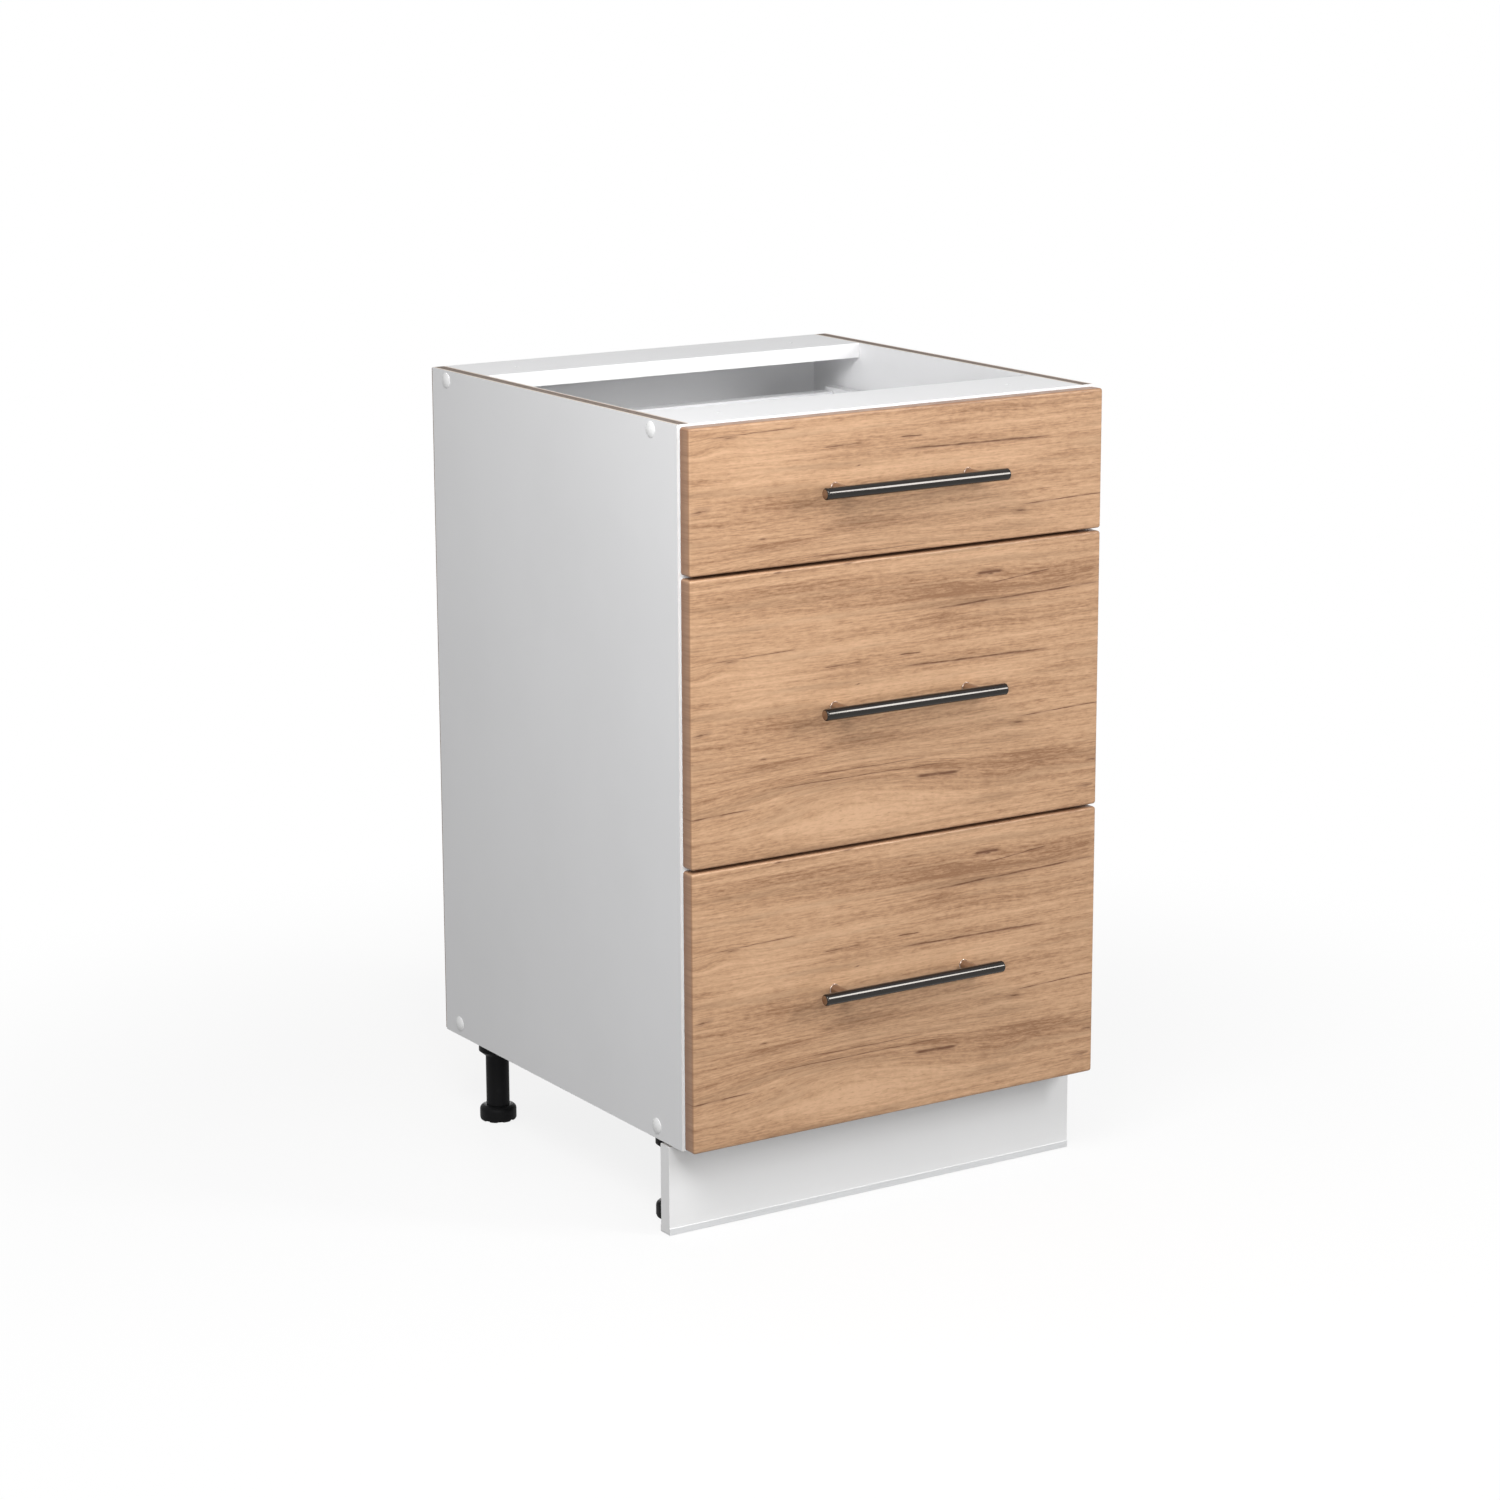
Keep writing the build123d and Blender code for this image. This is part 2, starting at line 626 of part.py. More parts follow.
def drawer_boards(drawer):
    """The drawer's chipboard bottom and back."""
    low = drawer.box_low + steel
    rear = box_rear - steel
    bottom = block((-box_half, box_front, low), (box_half, rear, low + board))
    back = block((-box_half, rear - board, low + board), (box_half, rear, drawer.box_high - box_back_drop))
    holes = [cut for seat, into in box_screw_seats(drawer) for cut in both_sides(pilot(box_screw, seat, into))]
    return bottom - holes, back - holes


def drawer_screws(drawer):
    """Every screw and rivet of one drawer."""
    right = [driven(box_screw, seat, into) for seat, into in box_screw_seats(drawer)]
    right += [driven(bracket_screw, seat, (0, -1, 0)) for seat in bracket_screw_seats(drawer)]
    seat = bracket_rivet_seat(drawer)
    right.append(rod(seat, (1, 0, 0), bracket_rivet.radius, bracket_rivet.length)
                 + rod(seat, (-1, 0, 0), bracket_rivet.head_radius, bracket_rivet.head_height))
    screws = [driven(handle_screw, seat, (0, -1, 0)) for seat in handle_screw_seats(drawer)]
    return screws + [piece for screw in right for piece in both_sides(screw)]


def build_drawer(drawer):
    """One drawer with its runners and rollers."""
    name = drawer.name
    bar, posts = handle(drawer)
    bottom, back = drawer_boards(drawer)
    right, left = both_sides(steel_side(drawer))
    save(f"{name}_front", drawer_front(drawer))
    save(f"{name}_handle_bar", bar)
    save(f"{name}_handle_posts", *posts)
    save(f"{name}_right_side", right)
    save(f"{name}_left_side", left)
    save(f"{name}_drawer_bottom", bottom)
    save(f"{name}_drawer_back", back)
    save(f"{name}_front_brackets", *both_sides(front_bracket(drawer)))
    save(f"{name}_drawer_screws", *drawer_screws(drawer))
    save(f"{name}_rear_rollers", *both_sides(roller(rear_roller_y, drawer.box_low + rear_roller_rise)))
    save(f"{name}_front_rollers", *both_sides(roller(front_roller_y, drawer.box_low + front_roller_rise)))
    save(f"{name}_runners", *both_sides(runner(drawer)))


os.makedirs("parts", exist_ok=True)
carcass_boards()
carcass_fasteners()
legs()
plinth()
for each in drawers:
    build_drawer(each)
right_runner_screws = [driven(runner_screw, seat, (1, 0, 0)) for seat in runner_screw_seats()]
save("runner_screws", *[piece for screw in right_runner_screws for piece in both_sides(screw)])
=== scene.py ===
import math

import bmesh
import bpy
from bpy.props import FloatProperty, FloatVectorProperty, IntProperty, PointerProperty
from mathutils import Matrix, Vector


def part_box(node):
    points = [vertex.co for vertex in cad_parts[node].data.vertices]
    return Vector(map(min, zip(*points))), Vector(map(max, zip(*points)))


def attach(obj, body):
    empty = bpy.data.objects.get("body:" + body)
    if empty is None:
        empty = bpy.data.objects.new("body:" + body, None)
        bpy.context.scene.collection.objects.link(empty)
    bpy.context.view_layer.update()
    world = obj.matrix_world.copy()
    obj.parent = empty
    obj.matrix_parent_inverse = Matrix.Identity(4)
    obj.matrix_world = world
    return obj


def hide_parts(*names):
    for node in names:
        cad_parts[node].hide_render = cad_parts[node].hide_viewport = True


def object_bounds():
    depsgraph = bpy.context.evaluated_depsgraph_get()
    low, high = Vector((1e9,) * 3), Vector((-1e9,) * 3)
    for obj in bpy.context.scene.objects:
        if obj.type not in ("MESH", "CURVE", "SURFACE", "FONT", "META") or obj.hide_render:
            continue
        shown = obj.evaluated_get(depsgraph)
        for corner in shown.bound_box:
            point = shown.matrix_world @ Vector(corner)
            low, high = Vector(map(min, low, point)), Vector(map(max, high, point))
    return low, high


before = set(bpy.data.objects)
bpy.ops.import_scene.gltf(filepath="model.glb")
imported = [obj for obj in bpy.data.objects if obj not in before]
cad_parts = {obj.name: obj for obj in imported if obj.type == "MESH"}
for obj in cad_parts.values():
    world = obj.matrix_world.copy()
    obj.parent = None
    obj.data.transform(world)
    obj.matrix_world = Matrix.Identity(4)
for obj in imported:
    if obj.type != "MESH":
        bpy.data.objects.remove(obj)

bl_info = {
    "name": "Kitchen base cabinet",
    "version": (1, 0, 0),
    "blender": (4, 5, 0),
    "location": "3D View > Sidebar > Cabinet",
    "description": "Dresses a three-drawer kitchen base cabinet and sets it on a studio floor",
    "category": "Object",
}

CAD_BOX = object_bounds()
MM = 0.001
DRAWERS = ("top", "middle", "bottom")
LEGS = ("front_left", "front_right", "rear_left", "rear_right")

# Points closer than WELD are merged, and places closer than TOUCH are the same
WELD = 0.002 * MM
TOUCH = 0.001 * MM
# Part of a face's normal along an axis from which the face looks that way
LOOKS = 0.9
# Edges up to this angle, in degrees, are shaded smooth
SMOOTH_ANGLE = 40.0
# Steps round a turned piece, and along the rounded parts of each shape
TURN_STEPS = 48
FINE_TURN_STEPS = 64
CAP_STEPS = 8
CORNER_STEPS = 4
EDGE_STEPS = 6
REAR_STEPS = 2
BAR_END_STEPS = 5
FLARE_STEPS = 5
SOLE_STEPS = 4
SHOULDER_STEPS = 6
NOTCH_STEPS = 24
FLOOR_STEPS = 96
# Where the flat crest of a thread's turn starts and ends, as shares of its pitch
THREAD_CREST = (0.4, 0.6)
# The camera's sensor width in millimetres and its farthest reach in metres
SENSOR = 36.0
REACH = 200.0


# Settings

def tone(red, green, blue):
    """A colour as Blender mixes it, from the 0 to 255 values that a screen shows."""
    def level(value):
        share = value / 255
        return share / 12.92 if share <= 0.04045 else ((share + 0.055) / 1.055) ** 2.4
    return tuple(level(value) for value in (red, green, blue))


def colour(name, description, *screen):
    return FloatVectorProperty(name=name, description=description, subtype="COLOR", size=3, min=0.0, max=1.0,
                               default=tone(*screen))


def length(name, description, millimetres):
    return FloatProperty(name=name, description=description, subtype="DISTANCE", unit="LENGTH", min=0.0,
                         default=millimetres * MM)


def angle(name, description, degrees):
    return FloatProperty(name=name, description=description, subtype="ANGLE", unit="ROTATION",
                         default=math.radians(degrees))


def power(name, description, watts):
    return FloatProperty(name=name, description=description, unit="POWER", min=0.0, default=watts)


def place(name, description, *metres):
    return FloatVectorProperty(name=name, description=description, subtype="TRANSLATION", unit="LENGTH",
                               size=3, default=metres)


class BoardSettings(bpy.types.PropertyGroup):
    """Colours of the carcass boards, their edges and the back panel"""
    melamine: colour("Melamine", "White face of the boards", 240, 240, 241)
    # The edge strip's white is a painted highlight: brighter than the melamine to stand in for the light on
    # the boards' front edges
    strip: colour("Edge strip", "White strip on the boards' front edges", 249, 249, 249)
    chip_dark: colour("Dark chips", "Darkest chips in a raw chipboard edge", 84, 74, 67)
    chip_light: colour("Light chips", "Lightest chips in a raw chipboard edge", 160, 144, 132)
    chip_face: colour("Fine chips", "Fine pale chips beside the faces of a raw chipboard edge", 242, 230, 219)
    chip_core: length("Chip core", "Thickness of the coarse core in a raw chipboard edge", 10.5)
    hardboard: colour("Hardboard", "Raw rear of the back panel", 134, 96, 66)
    hardboard_dark: colour("Hardboard fibres", "Dark fibres in the raw rear of the back panel", 98, 68, 45)
    beech: colour("Beech", "Dowels", 196, 160, 118)
    edge_round: length("Edge rounding", "Rounding that softens the boards' edges", 0.4)


class FrontSettings(bpy.types.PropertyGroup):
    """Sizes and colours of the drawer fronts"""
    corner_radius: length("Corner radius", "Rounding of a front's four corners", 3.0)
    edge_radius: length("Edge radius", "Rounding of a front's face edges", 2.5)
    rear_bevel: length("Rear bevel", "Small bevel round a front's rear", 0.4)
    oak_light: colour("Light oak", "Palest grain of the decor", 218, 177, 141)
    oak_middle: colour("Middle oak", "Usual tone of the decor", 196, 155, 120)
    oak_dark: colour("Dark oak", "Dark bands of the decor", 151, 111, 80)
    oak_crack: colour("Cracks", "Cracks and the cores of knots", 100, 62, 40)
    oak_grey: colour("Grey bands", "Greyish bands of the decor", 163, 130, 100)
    # Edge tape and shade: the brown tape's colour, darkened as painted shade for the narrow edges that face
    # away from the light
    oak_edge_and_shade: colour("Edge tape", "Brown tape on the fronts' narrow edges", 138, 98, 73)


class HandleSettings(bpy.types.PropertyGroup):
    """Sizes and colour of the bar handles"""
    end_round: length("End rounding", "Rounding of the bar's ends", 2.0)
    post_flare: length("Post flare", "How far a post widens where it meets the front", 0.6)
    post_rim: length("Post rim", "Height of a post's straight rim on the front", 0.4)
    flare_height: length("Flare height", "Height of a post's flare above its rim", 1.32)
    chrome: colour("Dark chrome", "Polished dark metal of the bars", 60, 58, 56)
    # A warm, bright copy of the chrome for the posts and the bars' ends: a painted reflection of the oak
    # beside them
    bright_chrome: colour("Bright chrome", "Polished metal of the posts and the bars' ends", 172, 158, 148)


class LegSettings(bpy.types.PropertyGroup):
    """Sizes and colour of the levelling feet"""
    rim_height: length("Rim height", "Height of the foot's straight rim", 12.0)
    shoulder_height: length("Shoulder height", "Height of the rounded shoulder above the rim", 5.0)
    sole_round: length("Sole rounding", "Rounding of the foot's lower edge", 2.5)
    neck_radius: length("Neck radius", "Radius at which the shoulder meets the column", 13.2)
    stem_radius: length("Stem radius", "Radius of the threaded stem", 8.0)
    thread_depth: length("Thread depth", "Depth of the stem's thread", 0.8)
    thread_pitch: length("Thread pitch", "Pitch of the stem's thread", 3.0)
    notch_radius: length("Notch radius", "Radius of the arched notches in the rim", 3.4)
    notch_length: length("Notch length", "Length of the round cutter, centred on the rim, of a notch", 8.0)
    notch_count: IntProperty(name="Notches", description="Notches round the rim", min=0, default=8)
    plastic: colour("Black plastic", "Legs and clips", 22, 22, 23)


class FittingSettings(bpy.types.PropertyGroup):
    """Colours of the drawer boxes, runners, screws, caps and seal"""
    coat: colour("Coated steel", "Drawer sides and runners", 234, 234, 235)
    zinc: colour("Zinc", "Screws, nails and brackets", 196, 198, 202)
    cap: colour("Cap", "Caps over the carcass screws", 246, 246, 246)
    cap_radius: length("Cap radius", "Radius of a cap", 8.0)
    cap_rim: length("Cap rim", "Height of a cap's straight rim", 0.6)
    cap_seat: length("Cap seat", "How far a cap is let into the side panel", 1.0)
    nylon: colour("Nylon", "Rollers", 226, 225, 219)
    seal: colour("Seal", "Soft strip along the plinth's lower edge", 236, 237, 238)


class StageSettings(bpy.types.PropertyGroup):
    """Camera, lamps and floor"""
    camera_place: place("Camera", "Where the camera stands", -2.2023, -3.3984, 1.3881)
    heading: angle("Heading", "Turn of the camera from the cabinet's front", -32.633)
    tilt: angle("Tilt", "How far the camera looks down", 13.283)
    roll: angle("Roll", "Roll of the camera", -0.213)
    lens: FloatProperty(name="Lens", description="Focal length", subtype="DISTANCE_CAMERA", default=94.53)
    sky: FloatProperty(name="Sky", description="Light from all round", min=0.0, default=0.34)
    front_power: power("Front lamp", "Power of the soft lamp at the front", 38.0)
    front_place: place("Front place", "Where the front lamp stands", -1.9, -3.5, 1.05)
    front_width: length("Front width", "Width of the front lamp", 1800.0)
    front_height: length("Front height", "Height of the front lamp", 1000.0)
    top_power: power("Top lamp", "Power of the soft lamp above the left side", 22.0)
    top_place: place("Top place", "Where the top lamp hangs", -1.1, -1.05, 1.75)
    top_size: length("Top size", "Width of the top lamp", 900.0)
    right_power: power("Right lamp", "Power of the upright lamp that draws the line on the handles", 28.0)
    right_place: place("Right place", "Where the right lamp stands", 1.4, -2.04, 1.57)
    right_width: length("Right width", "Width of the right lamp", 450.0)
    right_height: length("Right height", "Height of the right lamp", 1100.0)
    rear_power: power("Rear lamp", "Power of the soft lamp behind", 24.0)
    rear_place: place("Rear place", "Where the rear lamp stands", 1.2, 2.8, 0.42)
    rear_size: length("Rear size", "Width of the rear lamp", 700.0)
    floor_tone: colour("Floor", "Plain floor as it is seen", 248, 248, 248)
    floor_bounce: colour("Floor bounce", "Tone in which the floor throws light back", 105, 105, 105)
    floor_radius: length("Floor radius", "Radius of the round floor", 60000.0)
    floor_drop: length("Floor drop", "How far the floor lies below the feet", 0.2)
    shadow_share: FloatProperty(name="Shadow", description="Share of the shadow that the floor shows",
                                subtype="FACTOR", min=0.0, max=1.0, default=0.16)
    shadow_near: length("Shadow near", "Distance up to which the floor shows the shadow in full", 500.0)
    shadow_far: length("Shadow far", "Distance from which the floor is white", 1300.0)


class CabinetSettings(bpy.types.PropertyGroup):
    """Everything that a user may change on the cabinet"""
    boards: PointerProperty(type=BoardSettings)
    fronts: PointerProperty(type=FrontSettings)
    handles: PointerProperty(type=HandleSettings)
    legs: PointerProperty(type=LegSettings)
    fittings: PointerProperty(type=FittingSettings)
    stage: PointerProperty(type=StageSettings)


def settings():
    return bpy.context.scene.cabinet


# Shader values

class Value:
    """A shader value: sums with it add the Math nodes they need."""

    def __init__(self, finish, socket):
        self.finish = finish
        self.socket = socket

    def math(self, operation, *operands):
        sockets = dict(zip(("Value", "Value_001"), operands))
        return self.finish.add("ShaderNodeMath", {"operation": operation}, sockets)

    def __add__(self, other):
        return self.math("ADD", self, other)

    __radd__ = __add__

    def __sub__(self, other):
        return self.math("SUBTRACT", self, other)

    def __rsub__(self, other):
        return self.math("SUBTRACT", other, self)

    def __mul__(self, other):
        return self.math("MULTIPLY", self, other)

    __rmul__ = __mul__

    def __truediv__(self, other):
        return self.math("DIVIDE", self, other)

    def __abs__(self):
        return self.math("ABSOLUTE", self)

    def most(self, other):
        return self.math("MAXIMUM", self, other)

    def ease(self, low, high):
        """0 at low and 1 at high, with a smooth rise between."""
        return self.finish.add("ShaderNodeMapRange", {"interpolation_type": "SMOOTHSTEP"},
                               {"Value": self, "From Min": low, "From Max": high})


class Finish:
    """The node tree of a material or of the world, and the one method that adds nodes to it."""

    def __init__(self, owner):
        self.owner = owner
        owner.use_nodes = True
        self.tree = owner.node_tree
        self.tree.nodes.clear()

    def add(self, kind, node_settings=None, sockets=None, out=0):
        node = self.tree.nodes.new(kind)
        for key, value in (node_settings or {}).items():
            if key == "stops":
                ramp = node.color_ramp.elements
                while len(ramp) < len(value):
                    ramp.new(1.0)
                for stop, (position, shade) in zip(ramp, value):
                    stop.position = position
                    stop.color = (*shade, 1.0)
            else:
                setattr(node, key, value)
        by_name = {s.name: s for s in reversed(node.inputs)} | {s.identifier: s for s in node.inputs}
        for key, value in (sockets or {}).items():
            if isinstance(value, Value):
                self.tree.links.new(value.socket, by_name[key])
            elif by_name[key].type == "RGBA":
                by_name[key].default_value = (*value, 1.0)
            else:
                by_name[key].default_value = value
        outs = {s.name: s for s in reversed(node.outputs)} | {s.identifier: s for s in node.outputs}
        return Value(self, node.outputs[out] if isinstance(out, int) else outs[out])

    def place(self, move=(0.0, 0.0, 0.0)):
        """The surface's place on the piece in millimetres, counted from move."""
        at = self.add("ShaderNodeTexCoord", out="Object")
        shift = tuple(-m / MM for m in move)
        return self.add("ShaderNodeMapping", {}, {"Vector": at, "Location": shift, "Scale": (1 / MM,) * 3})

    def stretched(self, vector, *scale):
        """A place with each direction scaled by itself, for marks that run one way."""
        return self.add("ShaderNodeMapping", {}, {"Vector": vector, "Scale": scale})

    def split(self, vector):
        return [self.add("ShaderNodeSeparateXYZ", {}, {"Vector": vector}, axis) for axis in "XYZ"]

    def vector(self, x, y, z):
        return self.add("ShaderNodeCombineXYZ", {}, {"X": x, "Y": y, "Z": z})

    def facing(self):
        """The three parts of the direction that the surface faces."""
        return self.split(self.add("ShaderNodeTexCoord", out="Normal"))

    def noise(self, vector, scale=1.0, detail=2.0, rough=0.5):
        return self.add("ShaderNodeTexNoise", {},
                        {"Vector": vector, "Scale": scale, "Detail": detail, "Roughness": rough})

    def cells(self, vector, scale, out="Color"):
        return self.add("ShaderNodeTexVoronoi", {}, {"Vector": vector, "Scale": scale}, out)

    def mix(self, share, first, second, blend="MIX"):
        return self.add("ShaderNodeMix", {"data_type": "RGBA", "blend_type": blend},
                        {"Factor_Float": share, "A_Color": first, "B_Color": second}, "Result_Color")

    def ramp(self, value, *stops):
        return self.add("ShaderNodeValToRGB", {"stops": stops}, {"Fac": value})

    def bump(self, height, depth, strength=1.0, edge=0.0):
        """A surface raised by height times depth, in millimetres, with its edges softened by edge metres."""
        sockets = {"Height": height, "Distance": depth * MM, "Strength": strength}
        if edge:
            sockets["Normal"] = self.add("ShaderNodeBevel", {"samples": 4}, {"Radius": edge})
        return self.add("ShaderNodeBump", {}, sockets)

    def surface(self, **sockets):
        names = {key.replace("_", " "): value for key, value in sockets.items()}
        names = {"Specular IOR Level" if key == "Specular" else key: value for key, value in names.items()}
        return self.show(self.add("ShaderNodeBsdfPrincipled", {}, names))

    def show(self, shader):
        """Ends the tree with a shader and gives back the material or world."""
        kind = "World" if isinstance(self.owner, bpy.types.World) else "Material"
        output = self.tree.nodes.new(f"ShaderNodeOutput{kind}")
        self.tree.links.new(shader.socket, output.inputs["Surface"])
        return self.owner


# Finishes

def darker(shade, share):
    """A colour with its light cut to a share."""
    return tuple(share * part for part in shade)


def chipboard(f, at, board_middle):
    """The colour of a side panel's raw edge: a coarse core between finer, paler layers beside the faces."""
    s = settings().boards
    chips = f.noise(f.cells(f.stretched(at, 0.5, 0.5, 0.8), 1.0), 4.0, detail=0.0)
    dust = f.noise(at, 1.6, detail=3.0, rough=0.6)
    core = f.mix(0.6 * chips + 0.4 * dust, s.chip_dark, s.chip_light)
    core = f.mix(dust.ease(0.56, 0.7) * 0.5, core, s.chip_dark, "MULTIPLY")
    fine = f.mix(dust.ease(0.45, 0.7) * 0.35, s.chip_face, s.chip_light)
    off = abs(abs(f.split(at)[0]) - board_middle / MM) + 1.6 * (dust - 0.5)
    half = s.chip_core / 2 / MM
    return f.mix(off.ease(half - 0.5, half + 0.7), core, fine)


def white_board(name, raw_edges=False, white=None):
    """White melamine on chipboard, satin with a faint pearl; a side panel's raw edges show their chips."""
    s = settings().boards
    white = white or s.melamine
    f = Finish(bpy.data.materials.new(name))
    at = f.place()
    cloud = f.noise(at, 0.006, detail=3.0, rough=0.55)
    pearl = f.noise(at, 2.4, detail=2.0, rough=0.6)
    scuffs = f.noise(f.stretched(at, 0.02, 0.02, 0.004), 1.0, detail=4.0, rough=0.6)
    face = f.mix(cloud.ease(0.35, 0.75) * 0.35 + pearl.ease(0.55, 0.8) * 0.12, white,
                 darker(white, 0.93))
    rough = 0.36 + 0.1 * scuffs + 0.06 * pearl
    height = pearl
    if raw_edges:
        low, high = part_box("right_side_panel")
        rear, upper = f.facing()[1:]
        raw = abs(upper).most(rear).ease(0.6, 0.8)
        face = f.mix(raw, face, chipboard(f, at, (low.x + high.x) / 2))
        rough = rough + 0.4 * raw
        height = pearl + 3.0 * raw * f.noise(at, 1.2, detail=3.0, rough=0.6)
    return f.surface(Base_Color=face, Roughness=rough, Specular=0.4,
                     Normal=f.bump(height, depth=0.02, strength=0.35, edge=s.edge_round))


def edge_strip():
    """White plastic edge strip, a little glossier than the board, with a fine glue line; its white is
    brighter than the board's as a painted highlight on the edge.
    """
    s = settings().boards
    f = Finish(bpy.data.materials.new("white edge strip"))
    at = f.place()
    ripple = f.noise(f.stretched(at, 0.3, 0.3, 0.02), 1.0, detail=3.0)
    cloud = f.noise(at, 0.01, detail=2.0)
    face = f.mix(cloud.ease(0.4, 0.75) * 0.4, s.strip, s.melamine)
    return f.surface(Base_Color=face, Roughness=0.3 + 0.12 * ripple, Specular=0.45,
                     Normal=f.bump(ripple, depth=0.02, strength=0.3, edge=s.edge_round))


def hardboard():
    """Thin hardboard: white lacquer inside, raw brown fibres behind and on the cut edges."""
    s = settings().boards
    f = Finish(bpy.data.materials.new("back hardboard"))
    at = f.place()
    side, rear, upper = f.facing()
    fibres = f.noise(f.stretched(at, 0.35, 0.35, 1.1), 1.0, detail=5.0, rough=0.65)
    flecks = f.noise(f.stretched(at, 1.4, 1.4, 0.5), 1.0, detail=3.0, rough=0.6)
    stain = f.noise(at, 0.008, detail=3.0, rough=0.6)
    brown = f.mix(0.55 * fibres + 0.45 * flecks, s.hardboard_dark, s.hardboard)
    brown = f.mix(flecks.ease(0.62, 0.75) * 0.5, brown, s.chip_light)
    brown = f.mix(stain.ease(0.4, 0.8) * 0.35, brown, s.hardboard_dark, "MULTIPLY")
    lacquer = f.mix(stain.ease(0.35, 0.8) * 0.3, s.melamine, darker(s.melamine, 0.9))
    behind = rear.ease(0.4, 0.6)
    edge = abs(side).most(abs(upper)).ease(0.4, 0.6)
    face = f.mix(behind, lacquer, brown)
    face = f.mix(edge, face, f.mix(fibres, s.hardboard_dark, s.hardboard))
    return f.surface(Base_Color=face, Roughness=0.42 + 0.35 * behind + 0.1 * fibres, Specular=0.35,
                     Normal=f.bump(fibres, depth=0.05, strength=0.5))


def oak_spot(f, at, x, z, wide, high):
    """1 at a place on the oak print and 0 outside an oval round it, in millimetres."""
    scale = (1 / wide, 0.0, 1 / high)
    shift = (-x / wide, 0.0, -z / high)
    near = f.add("ShaderNodeMapping", {}, {"Vector": at, "Location": shift, "Scale": scale})
    reach = f.add("ShaderNodeVectorMath", {"operation": "LENGTH"}, {"Vector": near}, "Value")
    return 1 - reach.ease(0.0, 1.0)


# Grain of the oak print: length and width of its marks in millimetres, layer, detail and roughness
OAK_WANDER = (420, 90, 0.0, 1.0, 0.5)
OAK_RIPPLE = (75, 16, 3.0, 1.0, 0.5)
OAK_BANDS = (420, 26, 1.0, 2.0, 0.5)
OAK_STREAKS = (200, 5, 2.0, 3.0, 0.6)
OAK_FIBRES = (20, 1.6, 4.0, 3.0, 0.65)
OAK_PORES = (11, 0.45, 5.0, 1.0, 0.5)
OAK_FLAKES = (7, 2.4, 6.0, 2.0, 0.6)
OAK_DRIFT = (46, 10, 10.0, 3.0, 0.6)
OAK_GREY = (200, 12, 7.0, 2.0, 0.5)
OAK_JAG = (40, 6, 8.0, 3.0, 0.65)
OAK_GAP = (26, 30, 9.0, 2.0, 0.5)
# Millimetres behind a front's face from where the painted shade on its narrow edges starts to deepen towards
# the rear
OAK_EDGE_SHADE_START = 3
# Marks of the oak print in millimetres from a front's middle: x, z, half width, half height, strength
OAK_SHADES = (
    # The fourth shade darkens the oak just below the left half of each front's handle, in the same place on
    # all three fronts
    (-120, 112, 200, 26, 0.45), (90, 104, 170, 24, 0.6), (205, 112, 90, 20, 0.45), (-40, -38, 130, 15, 0.34),
    (-150, -54, 90, 14, 0.4), (198, 9, 70, 9, 0.5), (46, 74, 52, 8, 0.6), (45, -84, 60, 9, 0.55),
    (165, -86, 120, 20, 0.5), (-110, -78, 150, 9, 0.3), (-205, 54, 34, 10, 0.25), (20, 88, 60, 5, 0.3),
)
OAK_LIGHTS = (
    (-170, 28, 110, 34, 0.55), (20, 14, 170, 12, 0.45), (-40, -122, 260, 20, 0.6), (-20, 134, 260, 9, 0.35),
    (150, -20, 120, 10, 0.3), (-30, 60, 150, 12, 0.3), (150, 50, 110, 12, 0.3),
)
# Places where the grain bows: x, z, half width, half height, rise
OAK_SWELLS = (
    (-65, -84, 230, 50, 20), (84, 72, 110, 26, 5), (-205, 55, 50, 20, 5), (120, -46, 70, 18, 4),
    (190, 104, 130, 24, -6), (175, -94, 60, 16, 4),
)
# Cracks: x from and to, z at the middle, slope, half width
OAK_CRACKS = (
    (-8, 190, 30.0, -0.011, 0.75), (28, 262, 88.5, 0.027, 0.75), (90, 126, 116.0, 0.0, 1.2),
    (-262, -172, -92.5, 0.035, 0.6), (16, 76, -85.0, -0.022, 1.2), (-96, -46, 41.0, 0.015, 0.5),
    (140, 262, -36.5, 0.025, 0.45), (104, 190, 108.0, 0.09, 0.4), (-4, 26, 43.5, -0.01, 0.5),
    (-170, 60, -74.0, 0.0, 0.35), (-120, 40, -66.0, 0.0, 0.3), (-230, -120, 62.0, 0.03, 0.3),
)
# Knots: x, z, half width, half height
OAK_KNOTS = (
    (-203, 56, 10, 3.4), (-238, -8, 11, 4.2), (-162, -41, 5, 1.8), (-86, -39, 7, 2.0), (121, -41, 6, 1.8),
    (143, -47, 12, 3.2), (232, -122, 8, 2.6), (239, -95, 7, 3.4), (175, -94, 5, 3.0), (-138, 141, 8, 2.2),
    (-63, 141, 9, 2.2), (-53, 18, 4, 1.4), (104, 116, 10, 2.6),
)


def oak_grain(f, x, z, grain):
    """One layer of the print's grain, from its place along and across the grain."""
    long, wide, layer, detail, rough = grain
    return f.noise(f.vector(x / long, layer, z / wide), 1.0, detail, rough)


